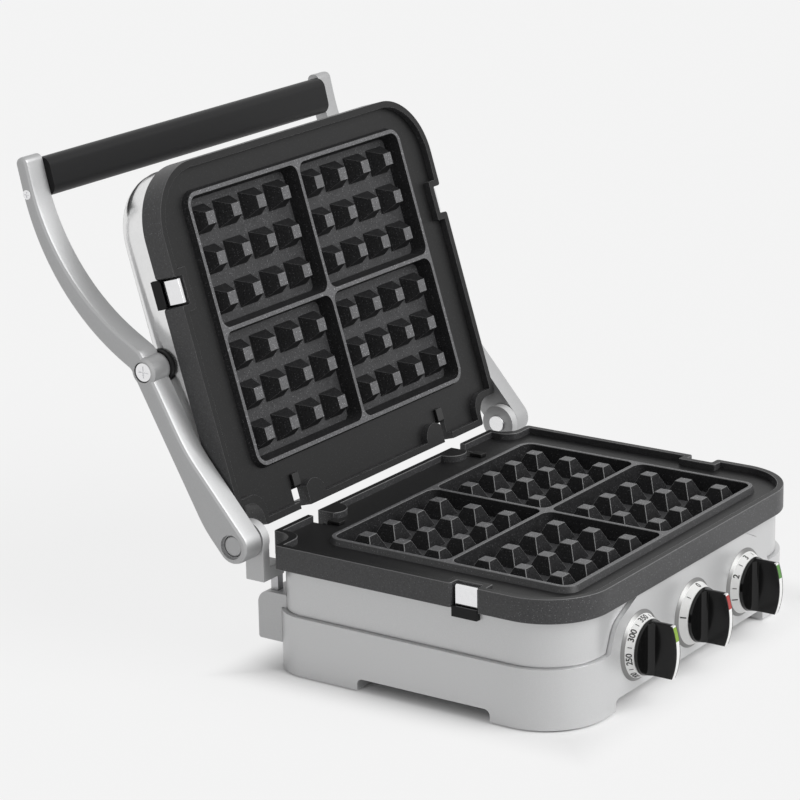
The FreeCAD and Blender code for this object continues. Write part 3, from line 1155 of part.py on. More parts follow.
def grip_section(height, thick, radius, behind):
    """Section across the handle, leaning with the arm's end, as corners in y and z, moved back by behind."""
    run = offset_line(*arm_skeleton()[3:5], 0.0)[1]
    across = V(run.y, -run.x, 0)
    middle = V(GRIP.y + arm_end_shift(), GRIP.z, 0) + across * (behind - arm_end_shift())
    corners = []
    for a, b in ((-1, -1), (1, -1), (1, 1), (-1, 1)):
        at = middle + across * (a * thick / 2) + run * (b * height / 2)
        corners.append((at.x, at.y, radius))
    return corners


def core_section(extra):
    return grip_section(CORE_HEIGHT + 2 * extra, CORE_THICK + 2 * extra, EDGE_RADIUS / 2, arm_end_shift())


def handle_grip():
    """Black oval sleeve between the arms."""
    end = ARM_INNER - GRIP_END_GAP
    body = side(grip_section(GRIP_HEIGHT, GRIP_THICK, GRIP_THICK * 0.46, 0.0), -end, end)
    return body.cut(side(core_section(CORE_CLEARANCE), -end, end))


def handle_core():
    """Flat steel bar inside the grip, screwed to both arms."""
    body = side(core_section(0.0), -ARM_INNER, ARM_INNER)
    at = handle_screw_place()
    bore = rod(HANDLE_SCREW_RADIUS + SCREW_CLEARANCE, V(ARM_INNER - HANDLE_SCREW_BITE - 1.0, at.y, at.z),
               V(ARM_INNER, at.y, at.z))
    return body.cut(bore).cut(mirrored(bore))


def handle_screw():
    at = handle_screw_place()
    return screw(HANDLE_SCREW_HEAD_RADIUS, HANDLE_SCREW_HEAD, HANDLE_SCREW_RADIUS, V(ARM_OUTER, at.y, at.z),
                 V(ARM_INNER - HANDLE_SCREW_BITE, at.y, at.z))


# Lid, drawn closed
def lid_shell(inset):
    """Solid of the lid cover's outside, moved inwards by inset: upright wall and crowned roof."""
    z0 = LID_SKIRT_Z
    z1 = z0 + LID_WALL_HEIGHT
    body = plan(lid_outline(inset), z0, z1)
    steps = [(0.0, 0.0)] + list(LID_CROWN)
    for low, high in zip(steps, steps[1:]):
        body = body.fuse(plan_loft(lid_outline(low[0] + inset), z1 + low[1] - inset * (low[1] > 0),
                                   lid_outline(high[0] + inset), z1 + high[1] - inset))
    return body


def pivot_bush_hole(radius, x0, x1):
    return rod(radius, V(x0, PIVOT_CLOSED.y, PIVOT_CLOSED.z), V(x1, PIVOT_CLOSED.y, PIVOT_CLOSED.z))


def lid_post_places():
    return [(sx * LID_POST_X, y) for sx in (-1, 1) for y in (LID_POST_FRONT_Y, LID_POST_BACK_Y)]


def lid_cover():
    """Polished pressed cover over the back of the lid, with a hole for each pivot bush."""
    body = lid_shell(0.0).cut(lid_shell(LID_SHEET))
    body = body.cut(plan(lid_outline(LID_SHEET), LID_SKIRT_Z, LID_SKIRT_Z + LID_WALL_HEIGHT))
    hole = pivot_bush_hole(PIVOT_BUSH_RADIUS + LID_FRAME_FIT, PIVOT_BLOCK_INNER, ARM_INNER)
    pocket = lid_pocket_space()
    body = body.cut(hole).cut(mirrored(hole)).cut(pocket).cut(mirrored(pocket))
    tab = lid_tab(LID_FRAME_FIT)
    body = body.cut(lid_tail(LID_FRAME_FIT)).cut(tab).cut(mirrored(tab))
    low = LID_SKIRT_Z + LID_FRAME_THICK
    high = LID_SKIRT_Z + LID_WALL_HEIGHT + LID_CROWN[-1][1]
    inside = lid_shell(LID_SHEET / 2)
    for x, y in lid_post_places():
        post = rod(LID_POST_RADIUS, V(x, y, low), V(x, y, high)).common(inside)
        bore = rod(SCREW_RADIUS + SCREW_CLEARANCE, V(x, y, low), V(x, y, low + SCREW_GRIP))
        body = body.fuse(post).cut(bore)
    return body.removeSplitter()


def lid_tail(grow):
    """Strip of the lid's frame that passes under the back wall of the cover to the hook seats."""
    half = LID_TAIL_HALF + grow
    corners = rectangle(-half, half, LID_BACK - LID_RADIUS_BACK, LID_TAIL_BACK + grow, EDGE_RADIUS)
    return plan(corners, LID_SKIRT_Z, LID_SKIRT_Z + LID_FRAME_THICK + grow)


def lid_tab(grow):
    """Corner tab of the lid's frame, beside the hinge, on the right."""
    corners = rectangle(LID_TAB_INNER - grow, LID_TAB_OUTER + grow, LID_BACK - LID_RADIUS_BACK / 2,
                        LID_TAB_BACK + grow, EDGE_RADIUS)
    return plan(corners, LID_SKIRT_Z, LID_SKIRT_Z + LID_FRAME_THICK + grow)


def lid_screws():
    """Screws that hold the frame to the cover, under the plate, and a short one in each corner tab."""
    screws = []
    z0 = LID_SKIRT_Z - SCREW_HEAD
    for x in (-LID_TAB_SCREW_X, LID_TAB_SCREW_X):
        screws.append(screw(LID_TAB_SCREW_HEAD_RADIUS, SCREW_HEAD, SCREW_RADIUS, V(x, LID_TAB_SCREW_Y, z0),
                            V(x, LID_TAB_SCREW_Y, LID_SKIRT_Z + LID_FRAME_THICK)))
    for x, y in lid_post_places():
        screws.append(screw(SCREW_HEAD_RADIUS, SCREW_HEAD, SCREW_RADIUS, V(x, y, z0),
                            V(x, y, LID_SKIRT_Z + LID_FRAME_THICK + SCREW_GRIP - 1.0)))
    return Part.makeCompound(screws)


def lid_pocket_space():
    """Room in the lid for a clip pocket, on the right."""
    return mirrored(flipped(pocket_cut(POCKET_FIT)))


def lid_frame():
    """Inner frame of the lid: flange that the upper plate seats on, tail with the hook seats, pivot blocks."""
    z0 = LID_SKIRT_Z
    z1 = z0 + LID_FRAME_THICK
    inset = LID_SHEET + LID_FRAME_FIT
    outline = lid_outline(inset)
    body = plan(outline, z0, z1).multiFuse([lid_tail(0.0), lid_tab(0.0), mirrored(lid_tab(0.0))])
    opening = flipped(plan(case_outline(FLANGE_INSET), SKIRT_Z - 2 * WALL, SKIRT_Z))
    body = body.cut(opening)
    tab_screws = [(-LID_TAB_SCREW_X, LID_TAB_SCREW_Y), (LID_TAB_SCREW_X, LID_TAB_SCREW_Y)]
    for x, y in lid_post_places() + tab_screws:
        body = body.cut(rod(SCREW_RADIUS + SCREW_CLEARANCE, V(x, y, z0), V(x, y, z1)))
    pivot = block(PIVOT_BLOCK_INNER, PIVOT_BLOCK_OUTER, PIVOT_Y - PIVOT_BUSH_RADIUS, PIVOT_Y + PIVOT_BUSH_RADIUS,
                  z0, PIVOT_CLOSED.z)
    pivot = pivot.fuse(pivot_bush_hole(PIVOT_BUSH_RADIUS, PIVOT_BLOCK_INNER, PIVOT_BLOCK_OUTER))
    pan = flipped(plan(case_outline(FLANGE_INSET), REFLECTOR_Z, SKIRT_Z))
    pivot = pivot.cut(pan)
    bore = pivot_bush_hole(PIVOT_SCREW_RADIUS + PIVOT_CLEARANCE, PIVOT_BLOCK_INNER, PIVOT_BLOCK_OUTER)
    pocket = lid_pocket_space()
    for turn in (lambda shape: shape, mirrored):
        body = body.fuse(turn(pivot)).cut(turn(bore)).cut(turn(pocket))
    return body.removeSplitter()


def lid_pivot_bush():
    """Collar between the pivot block and the arm."""
    x1 = ARM_INNER - PIVOT_BUSH_GAP
    collar = pivot_bush_hole(PIVOT_BUSH_RADIUS, PIVOT_BLOCK_OUTER, x1)
    return collar.cut(pivot_bush_hole(PIVOT_SCREW_RADIUS + PIVOT_CLEARANCE, PIVOT_BLOCK_OUTER, x1))


# Assembly
def build():
    """All pieces by name, in the design frame."""
    pieces = {}
    pieces["lower_case"] = lower_case()
    pieces["upper_case"] = upper_case()
    pieces["bottom_cover"] = bottom_cover()
    pieces["rubber_feet"] = rubber_feet()
    pieces["base_screws"] = base_screws()
    plate = waffle_plate()
    element = heating_element()
    pan = reflector()
    clamps = heater_clamps()
    hooks = plate_hooks(SKIRT_Z)
    pieces["lower_waffle_plate"] = plate
    pieces["lower_heating_element"] = element
    pieces["lower_reflector"] = pan
    pieces["lower_heater_clamps"] = clamps
    pieces["lower_plate_hooks"] = hooks
    pieces["lower_clip_pockets"] = pair(clip_pocket())
    pieces["lower_clip_pins"] = pair(clip_pin())
    pieces["lower_clip_springs"] = pair(clip_spring())
    pieces["thermostat_left"] = control(-DIAL_PITCH, CONTROL_DEPTH)
    pieces["thermostat_right"] = control(DIAL_PITCH, CONTROL_DEPTH)
    pieces["selector_switch"] = control(0.0, SWITCH_DEPTH)
    pieces["terminal_block"] = terminal_block()
    pieces["cord_gland"] = cord_gland()
    for name, x in DIAL_PLACES:
        pieces["dial_ring_" + name] = dial_ring(x)
        pieces["knob_" + name] = knob(x)
        pieces["knob_strip_" + name] = knob_strip(x)
        pieces["knob_shaft_" + name] = knob_shaft(x)
    for name, turn in (("left", mirrored), ("right", lambda shape: shape)):
        pieces["hinge_tower_" + name] = turn(hinge_tower())
        pieces["hinge_bracket_" + name] = turn(hinge_bracket())
        pieces["arm_" + name] = turn(arm())
        pieces["lower_clip_" + name] = turn(clip())
        pieces["upper_clip_" + name] = opened(turn(mirrored(flipped(clip()))))
    pieces["hinge_posts"] = pair(hinge_post())
    pieces["hinge_pins"] = pair(hinge_pin())
    pieces["hinge_caps"] = pair(hinge_cap())
    pieces["lid_pivot_screws"] = pair(lid_pivot_screw())
    pieces["handle_grip"] = handle_grip()
    pieces["handle_core"] = handle_core()
    pieces["handle_screws"] = pair(handle_screw())
    pieces["upper_waffle_plate"] = opened(flipped(plate))
    pieces["upper_heating_element"] = opened(flipped(element))
    pieces["upper_reflector"] = opened(flipped(pan))
    pieces["upper_heater_clamps"] = opened(flipped(clamps))
    pieces["upper_plate_hooks"] = opened(flipped(hooks))
    pieces["upper_clip_pockets"] = opened(flipped(pair(clip_pocket())))
    pieces["upper_clip_pins"] = opened(flipped(pair(clip_pin())))
    pieces["upper_clip_springs"] = opened(flipped(pair(clip_spring())))
    pieces["lid_cover"] = opened(lid_cover())
    pieces["lid_frame"] = opened(lid_frame())
    pieces["lid_screws"] = opened(lid_screws())
    pieces["lid_pivot_bushes"] = opened(pair(lid_pivot_bush()))
    return pieces


def main():
    os.makedirs("parts", exist_ok=True)
    pieces = build()
    box = FreeCAD.BoundBox()
    for shape in pieces.values():
        box.add(shape.BoundBox)
    shift = V(0, -(box.YMin + box.YMax) / 2, -box.ZMin)
    for name, shape in sorted(pieces.items()):
        moved = shape.translated(shift)
        moved.exportStep("parts/" + name + ".step")
        volume = round(shape.Volume / 1000, 2)
        print(name, "solids", len(shape.Solids), "volume", volume, "valid", shape.isValid())
    clip_pivot = V(CLIP_PIVOT_X, CLIP_Y, CLIP_PIVOT_Z)
    upper_clip_pivot = swing_open(V(CLIP_PIVOT_X, CLIP_Y, 2 * MID_Z - CLIP_PIVOT_Z))
    marks = {"hinge": HINGE, "lid_pivot": PIVOT, "grip": GRIP, "clip": clip_pivot,
             "upper_clip": upper_clip_pivot, "dial": V(DIAL_PITCH, DIAL_FACE_Y, DIAL_Z),
             "foot": V(FOOT_X, FOOT_FRONT_Y, 0), "origin": ORIGIN}
    for name, place in marks.items():
        moved = place + shift
        print("place", name, round(moved.x, 4), round(moved.y, 4), round(moved.z, 4))
    print("box", [round(v, 3) for v in (box.XMin, box.XMax, box.YMin, box.YMax, box.ZMin, box.ZMax)])


main()
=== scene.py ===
# %% [markdown]
# # A waffle maker, dressed
# The imported model gives every piece of the appliance at its real size, in metres, and this lesson adds
# the looks. We load it first.

# %% Load the imported frame
import bpy
import bmesh
import json
import math
import numpy as np
from mathutils import Matrix, Vector


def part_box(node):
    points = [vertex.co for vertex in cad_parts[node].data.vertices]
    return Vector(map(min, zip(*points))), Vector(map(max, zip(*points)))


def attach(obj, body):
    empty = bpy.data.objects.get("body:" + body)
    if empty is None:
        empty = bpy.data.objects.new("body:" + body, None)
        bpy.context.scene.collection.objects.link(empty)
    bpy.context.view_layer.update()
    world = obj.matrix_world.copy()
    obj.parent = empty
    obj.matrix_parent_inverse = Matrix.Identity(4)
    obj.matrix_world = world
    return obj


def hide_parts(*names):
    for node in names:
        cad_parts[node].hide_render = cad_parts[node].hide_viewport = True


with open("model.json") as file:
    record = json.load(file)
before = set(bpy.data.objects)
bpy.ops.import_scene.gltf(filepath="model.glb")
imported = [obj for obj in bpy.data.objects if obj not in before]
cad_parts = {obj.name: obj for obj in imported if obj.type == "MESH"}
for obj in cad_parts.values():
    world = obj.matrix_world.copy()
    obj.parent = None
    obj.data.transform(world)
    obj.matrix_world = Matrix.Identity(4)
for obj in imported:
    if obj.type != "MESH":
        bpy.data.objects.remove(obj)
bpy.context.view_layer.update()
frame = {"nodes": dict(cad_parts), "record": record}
MM = 0.001
print("loaded", len(frame["nodes"]), "nodes")

# %% [markdown]
# ## The camera
# The photograph was taken from the front left with a long lens, a little above the plate. A long lens
# far away gives the flat perspective that product photographs have. The camera's place is given from
# the middle of the lower stud grid, because a regular grid shows best whether a view lines up.

# %% Camera at the photograph's viewing angle
STUD_GRID_FROM_PLATE_FRONT = 113.5 * MM
LIP_ABOVE_STUDS = 0.4 * MM
CAMERA_OFFSET = Vector((-1.7115, -1.0688, 0.6823))
CAMERA_AZIMUTH = math.radians(-55.294)
CAMERA_ELEVATION = math.radians(16.693)
CAMERA_ROLL = math.radians(1.0758)
CAMERA_LENS = 144.07
SENSOR_WIDTH = 36.0
NEAR_CLIP = 0.05
FAR_CLIP = 200.0

lower_plate_low, lower_plate_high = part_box("lower_waffle_plate")
grid_centre = Vector((0.0, lower_plate_low.y + STUD_GRID_FROM_PLATE_FRONT,
                      lower_plate_high.z - LIP_ABOVE_STUDS))


def new_object(name, data):
    """An object that shows a data block, put into the scene."""
    thing = bpy.data.objects.new(name, data)
    bpy.context.scene.collection.objects.link(thing)
    return thing


def camera_matrix():
    """Camera axes from azimuth and elevation, rolled about the line of sight, and moved to its place."""
    right = Vector((math.cos(CAMERA_AZIMUTH), math.sin(CAMERA_AZIMUTH), 0.0))
    back = Vector((math.sin(CAMERA_AZIMUTH) * math.cos(CAMERA_ELEVATION),
                   -math.cos(CAMERA_AZIMUTH) * math.cos(CAMERA_ELEVATION),
                   math.sin(CAMERA_ELEVATION)))
    up = back.cross(right)
    cosine = math.cos(CAMERA_ROLL)
    sine = math.sin(CAMERA_ROLL)
    axes = Matrix((right * cosine - up * sine, right * sine + up * cosine, back)).transposed()
    return Matrix.Translation(grid_centre + CAMERA_OFFSET) @ axes.to_4x4()


camera_data = bpy.data.cameras.new("camera")
camera_data.lens = CAMERA_LENS
camera_data.sensor_width = SENSOR_WIDTH
camera_data.clip_start = NEAR_CLIP
camera_data.clip_end = FAR_CLIP
camera = new_object("camera", camera_data)
camera.matrix_world = camera_matrix()
bpy.context.scene.camera = camera
print("camera at", [round(v, 3) for v in camera.location])

# %% [markdown]
# ## Trees of nodes
# The studio and every finish are small trees of nodes. Adding a node, setting its options and joining
# its inputs takes many lines each time, so two helpers do it: an input is either a socket, which gets
# linked, or a value.

# %% Helpers for node trees
WHITE = (1.0, 1.0, 1.0, 1.0)


def feed(tree, node, inputs):
    """Link each input that is given as a socket, and set each one that is given as a value."""
    for key, value in inputs.items():
        if isinstance(value, bpy.types.NodeSocket):
            tree.links.new(value, node.inputs[key])
        else:
            node.inputs[key].default_value = value


def add_node(tree, kind, inputs, **options):
    """A new node of a kind, with its options set and its inputs fed."""
    node = tree.nodes.new("ShaderNode" + kind)
    for option, value in options.items():
        setattr(node, option, value)
    feed(tree, node, inputs)
    return node


# %% [markdown]
# ## Studio
# The photograph has a pale ground that runs out of the picture, with light from all round and more of
# it from the front. A uniform pale world and one very soft sun do that. To camera and mirror rays the
# floor is partly its own lit paper, which keeps the object's shadow, and partly the plain background
# value, which keeps the shadow soft. The plain share is small under the base, where the shadow is deep,
# and large around it.

# %% World and sun
BACKGROUND = 0.92
SKY_LEVEL = 0.36
SUN_LEVEL = 2.3
SUN_TOWARDS = Vector((-0.20, 1.0, -0.80))
SUN_SOFTNESS = math.radians(50.0)


def seen_rays(tree):
    """Socket that is 1 for camera, glossy and transmission rays."""
    rays = add_node(tree, "LightPath", {}).outputs
    seen = rays["Is Camera Ray"]
    for kind in ("Is Glossy Ray", "Is Transmission Ray"):
        seen = add_node(tree, "Math", {0: seen, 1: rays[kind]}, operation="MAXIMUM").outputs[0]
    return seen


def build_world():
    """A world that lights softly, and looks like the pale ground to the rays that see it."""
    world = bpy.data.worlds.new("studio")
    bpy.context.scene.world = world
    world.use_nodes = True
    tree = world.node_tree
    tree.nodes.clear()
    lighting = add_node(tree, "Background", {"Color": WHITE, "Strength": SKY_LEVEL})
    shown = add_node(tree, "Background", {"Color": WHITE, "Strength": BACKGROUND})
    mix = add_node(tree, "MixShader", {0: seen_rays(tree), 1: lighting.outputs[0], 2: shown.outputs[0]})
    add_node(tree, "OutputWorld", {"Surface": mix.outputs[0]})


def build_sun():
    """One sun lamp that shines along SUN_TOWARDS, as wide in the sky as SUN_SOFTNESS."""
    lamp = bpy.data.lights.new("key_light", "SUN")
    lamp.energy = SUN_LEVEL
    lamp.angle = SUN_SOFTNESS
    holder = new_object("key_light", lamp)
    holder.rotation_mode = "QUATERNION"
    holder.rotation_quaternion = SUN_TOWARDS.to_track_quat("-Z", "Y")


build_world()
build_sun()
bpy.context.scene.view_settings.view_transform = "Standard"
print("world at", SKY_LEVEL, "and sun at", SUN_LEVEL)

# %% Floor that keeps a soft shadow
FLOOR_REACH = 60.0
PAPER_COLOUR = (0.90, 0.90, 0.90, 1.0)
PLAIN_SHARE_UNDER = 0.0
PLAIN_SHARE_AROUND = 0.90
PLAIN_FROM = -15.0 * MM
PLAIN_TO = 35.0 * MM


def plain_share(tree):
    """Socket with the floor's plain share, which grows with the distance outside the base's box.

    The distance is the larger of |x - middle| - half width and |y - middle| - half depth. The share runs
    smoothly from PLAIN_SHARE_UNDER at PLAIN_FROM to PLAIN_SHARE_AROUND at PLAIN_TO.
    """
    low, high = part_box("lower_case")
    place = add_node(tree, "TexCoord", {}).outputs["Object"]
    shifted = add_node(tree, "VectorMath", {0: place, 1: (low + high) / 2}, operation="SUBTRACT")
    reach = add_node(tree, "VectorMath", {0: shifted.outputs[0]}, operation="ABSOLUTE")
    beyond = add_node(tree, "VectorMath", {0: reach.outputs[0], 1: (high - low) / 2}, operation="SUBTRACT")
    split = add_node(tree, "SeparateXYZ", {0: beyond.outputs[0]}).outputs
    farther = add_node(tree, "Math", {0: split["X"], 1: split["Y"]}, operation="MAXIMUM")
    ends = {"From Min": PLAIN_FROM, "From Max": PLAIN_TO,
            "To Min": PLAIN_SHARE_UNDER, "To Max": PLAIN_SHARE_AROUND}
    share = add_node(tree, "MapRange", {"Value": farther.outputs[0], **ends},
                     interpolation_type="SMOOTHSTEP")
    return share.outputs["Result"]


def build_floor():
    """A very large sheet of pale paper."""
    corners = [(x * FLOOR_REACH, y * FLOOR_REACH, 0.0) for x, y in ((-1, -1), (1, -1), (1, 1), (-1, 1))]
    mesh = bpy.data.meshes.new("floor")
    mesh.from_pydata(corners, [], [(0, 1, 2, 3)])
    floor = new_object("floor", mesh)
    paper = bpy.data.materials.new("pale_paper")
    paper.use_nodes = True
    tree = paper.node_tree
    shader = tree.nodes["Principled BSDF"]
    feed(tree, shader, {"Base Color": PAPER_COLOUR, "Roughness": 1.0, "Specular IOR Level": 0.0})
    plain = add_node(tree, "Emission", {"Color": WHITE, "Strength": BACKGROUND})
    share = add_node(tree, "Math", {0: seen_rays(tree), 1: plain_share(tree)}, operation="MULTIPLY")
    mix = add_node(tree, "MixShader", {0: share.outputs[0], 1: shader.outputs[0], 2: plain.outputs[0]})
    feed(tree, tree.nodes["Material Output"], {"Surface": mix.outputs[0]})
    mesh.materials.append(paper)


build_floor()
print("floor reaches", FLOOR_REACH, "m each way")

# %% [markdown]
# ## Finishes
# Every finish is a small tree of nodes on Object coordinates. A helper makes the grain that most of
# them share: a fine noise that varies the colour a little, the gloss a little, and the surface by a
# tiny bump.

# %% Helper for finishes
GRAIN_DETAIL = 3.0
GRAIN_RAMP = (0.3, 0.7)
USUAL_REFLECTION = 0.5


def finish(name, colour, roughness, metallic, grain_mm, colour_spread, gloss_spread, bump_mm,
           reflection=USUAL_REFLECTION):
    """Material whose colour, gloss and height follow one noise with spots of grain_mm.

    The colour runs between colour * (1 - spread) and colour * (1 + spread), the roughness runs between
    roughness - spread and roughness + spread, and the bump is bump_mm high.
    """
    material = bpy.data.materials.new(name)
    material.use_nodes = True
    tree = material.node_tree
    place = add_node(tree, "TexCoord", {}).outputs["Object"]
    noise = add_node(tree, "TexNoise", {"Vector": place, "Scale": 1.0 / (grain_mm * MM),
                                        "Detail": GRAIN_DETAIL})
    grain = noise.outputs["Fac"]
    tone = add_node(tree, "ValToRGB", {"Fac": grain})
    for index, factor in enumerate((1.0 - colour_spread, 1.0 + colour_spread)):
        tone.color_ramp.elements[index].position = GRAIN_RAMP[index]
        tone.color_ramp.elements[index].color = (*(channel * factor for channel in colour), 1.0)
    gloss = add_node(tree, "MapRange", {"Value": grain, "To Min": roughness - gloss_spread,
                                        "To Max": roughness + gloss_spread})
    bump = add_node(tree, "Bump", {"Height": grain, "Strength": 1.0, "Distance": bump_mm * MM})
    feed(tree, tree.nodes["Principled BSDF"], {
        "Base Color": tone.outputs["Color"], "Roughness": gloss.outputs["Result"],
        "Normal": bump.outputs["Normal"], "Metallic": metallic, "Specular IOR Level": reflection})
    return material


# %% [markdown]
# ### Non-stick coating
# The plates are cast aluminium under a dark coating with fine pale specks. The specks come from a
# Voronoi pattern: only cells whose random value is high, and only near their middle, are pale. Light and
# shade are painted on the coating: the tops of the studs and ridges are painted paler as a painted
# highlight, and the walls between them dull as painted shade. Two attributes on the mesh say how pale and
# how shiny a face is: the first multiplies the colour, and the second is the strength of the reflection.

# %% Speckled non-stick coating
# Face attributes that paint light and shade on the coating: tone scales its colour, sheen its reflection.
PAINTED_TONE_ATTRIBUTE = "coating_painted_light_tone"
PAINTED_SHEEN_ATTRIBUTE = "coating_painted_sheen"
SPECK_CELL = 1.1 * MM
SPECK_REACH = 0.28
SPECK_CHOICE = 0.72
SPECK_COLOUR = (0.045, 0.045, 0.047, 1.0)


def nonstick_coating():
    """Charcoal coating with a fine grain and pale specks, times the face's tone, which paints light and
    shade.

    A point is in a speck where its distance from the cell's middle is under SPECK_REACH of the cell's size
    and the cell's random value is over SPECK_CHOICE.
    """
    material = finish("speckled_nonstick", (0.013, 0.013, 0.0135), 0.43, 0.0, 0.9, 0.40, 0.06, 0.03)
    tree = material.node_tree
    shader = tree.nodes["Principled BSDF"]
    place = add_node(tree, "TexCoord", {}).outputs["Object"]
    cells = add_node(tree, "TexVoronoi", {"Vector": place, "Scale": 1.0 / SPECK_CELL}).outputs
    near = add_node(tree, "Math", {0: cells["Distance"], 1: SPECK_REACH}, operation="LESS_THAN")
    draw = add_node(tree, "SeparateColor", {"Color": cells["Color"]}).outputs["Red"]
    chosen = add_node(tree, "Math", {0: draw, 1: SPECK_CHOICE}, operation="GREATER_THAN")
    speck = add_node(tree, "Math", {0: near.outputs[0], 1: chosen.outputs[0]}, operation="MULTIPLY")
    ground = shader.inputs["Base Color"].links[0].from_socket
    blend = add_node(tree, "Mix", {"Factor": speck.outputs[0], "A": ground, "B": SPECK_COLOUR},
                     data_type="RGBA")
    tone = add_node(tree, "Attribute", {}, attribute_name=PAINTED_TONE_ATTRIBUTE).outputs["Fac"]
    toned = add_node(tree, "VectorMath", {0: blend.outputs["Result"], "Scale": tone}, operation="SCALE")
    sheen = add_node(tree, "Attribute", {}, attribute_name=PAINTED_SHEEN_ATTRIBUTE).outputs["Fac"]
    feed(tree, shader, {"Base Color": toned.outputs[0], "Specular IOR Level": sheen})
    return material


# %% [markdown]
# ### Dial finish
# A dial has a satin grey rim and a white cone for the numbers. The rim is the part next to the panel,
# so one comparison on the y coordinate tells them apart, and it sets both the colour and how metallic
# the surface is.

# %% Two-tone dial finish
DIAL_RIM_DEPTH = 1.8 * MM
DIAL_RIM_COLOUR = (0.24, 0.24, 0.237, 1.0)


def dial_finish():
    """White cone in front and grey metal rim behind: the rim is where y > back of the dial - rim depth."""
    material = finish("white_dial_with_grey_rim", (0.80, 0.80, 0.79), 0.34, 0.0, 1.0, 0.01, 0.03, 0.001)
    tree = material.node_tree
    shader = tree.nodes["Principled BSDF"]
    place = add_node(tree, "TexCoord", {}).outputs["Object"]
    y = add_node(tree, "SeparateXYZ", {0: place}).outputs["Y"]
    rim_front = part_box("dial_ring_left")[1].y - DIAL_RIM_DEPTH
    rim = add_node(tree, "Math", {0: y, 1: rim_front}, operation="GREATER_THAN").outputs[0]
    ground = shader.inputs["Base Color"].links[0].from_socket
    blend = add_node(tree, "Mix", {"Factor": rim, "A": ground, "B": DIAL_RIM_COLOUR}, data_type="RGBA")
    feed(tree, shader, {"Base Color": blend.outputs["Result"], "Metallic": rim})
    return material


# %% [markdown]
# ### Paint, metals and mouldings
# The base is painted in a satin silver, the arms and hinge are cast and painted a little darker, and
# the lid is a polished sheet. Paint with flakes lies between metal and plastic, so its metallic value
# lies between 0 and 1. The grip, knobs and bushes are black mouldings with a weaker reflection than the
# usual one. The numbers after each colour are roughness, metallic, grain in mm, colour spread, gloss
# spread and bump in mm.

# %% All finishes
FINISHES = {
    "silver_paint": finish("satin_silver_paint", (0.60, 0.602, 0.605), 0.38, 0.50, 0.35, 0.05, 0.03, 0.004),
    "nonstick": nonstick_coating(),
    "polished_steel": finish("polished_lid_sheet", (0.80, 0.80, 0.80), 0.20, 1.0, 2.5, 0.02, 0.03, 0.002),
    "cast_silver": finish("satin_cast_silver", (0.43, 0.432, 0.435), 0.42, 0.60, 0.5, 0.05, 0.04, 0.008),
    "hinge_grey": finish("matte_light_grey", (0.52, 0.522, 0.525), 0.46, 0.40, 0.6, 0.04, 0.04, 0.006),
    "bright_chrome": finish("bright_chrome", (0.84, 0.84, 0.85), 0.09, 1.0, 3.0, 0.02, 0.02, 0.001),
    "dark_steel": finish("blackened_steel", (0.008, 0.008, 0.008), 0.36, 0.0, 0.8, 0.2, 0.05, 0.006),
    "plain_steel": finish("plain_steel", (0.45, 0.45, 0.46), 0.34, 1.0, 1.2, 0.08, 0.06, 0.004),
    "pan_aluminium": finish("rolled_aluminium", (0.75, 0.75, 0.76), 0.32, 1.0, 2.0, 0.05, 0.05, 0.004),
    "grip_black": finish("satin_black_grip", (0.006, 0.006, 0.0065), 0.42, 0.0, 0.45, 0.25, 0.05, 0.012,
                         reflection=0.20),
    "knob_black": finish("gloss_black_knob", (0.004, 0.004, 0.004), 0.15, 0.0, 1.5, 0.2, 0.03, 0.001,
                         reflection=0.35),
    "dial_white": dial_finish(),
    "control_plastic": finish("moulded_black", (0.006, 0.006, 0.006), 0.5, 0.0, 0.8, 0.2, 0.06, 0.01,
                              reflection=0.2),
    "terminal_plastic": finish("ivory_moulding", (0.74, 0.72, 0.64), 0.45, 0.0, 0.9, 0.04, 0.05, 0.008),
    "foot_rubber": finish("foot_rubber", (0.02, 0.02, 0.02), 0.75, 0.0, 0.6, 0.2, 0.08, 0.03),
}
# Paler coating for the rounded edges of the plates: a painted highlight.
painted_edge_highlight = finish("coating_edge_painted_highlight", (0.13, 0.13, 0.132), 0.36, 0.0, 0.7, 0.30, 0.05, 0.01)
node_slot = {part["node"]: part["material_slot"] for part in frame["record"]["subparts"]}
for node, solid in frame["nodes"].items():
    solid.data.materials.clear()
    solid.data.materials.append(FINISHES[node_slot[node]])
print("finishes", len(FINISHES), "on", len(frame["nodes"]), "solids")

# %% [markdown]
# ## Softened castings and mouldings
# No real casting or moulding has a knife edge. The solids have sharp edges, so each visible one is
# copied, its triangles are merged into whole faces again, and a Bevel modifier rounds the edges by up to
# a real radius. Its overlap clamp makes the radius smaller on a whole piece where one short edge leaves
# no room, and so the arms and knobs stay almost as sharp as their solids. The copy stands for the solid.
# On the coated plates only the outer edges are rounded, and their rounding is a painted highlight.

# %% Merged copies of the solids
MERGE_DISTANCE = 0.001 * MM
COPLANAR_BEND = math.radians(0.4)
FLAT_BEND = math.radians(0.5)
SHARP_BEND = math.radians(28.0)


def merged_mesh(node, outer_edges_only):
    """A copy of a solid's mesh with its triangles merged, ready for rounding.

    An edge that bends by SHARP_BEND or more is sharp and gets the bevel weight 1, unless only outer edges
    are wanted and it is an inner one. A face that meets another at a slight bend is shaded smooth, and any
    other is shaded flat.
    """
    mesh = frame["nodes"][node].data.copy()
    work = bmesh.new()
    work.from_mesh(mesh)
    bmesh.ops.remove_doubles(work, verts=work.verts, dist=MERGE_DISTANCE)
    bmesh.ops.dissolve_limit(work, angle_limit=COPLANAR_BEND, verts=work.verts, edges=work.edges)
    weight = work.edges.layers.float.new("bevel_weight_edge")
    for face in work.faces:
        face.smooth = False
    for edge in work.edges:
        bend = edge.calc_face_angle(math.pi)
        edge.smooth = bend < SHARP_BEND
        edge[weight] = 0.0 if edge.smooth or (outer_edges_only and not edge.is_convex) else 1.0
        if FLAT_BEND < bend < SHARP_BEND:
            for face in edge.link_faces:
                face.smooth = True
    work.to_mesh(mesh)
    work.free()
    mesh.materials.clear()
    return mesh


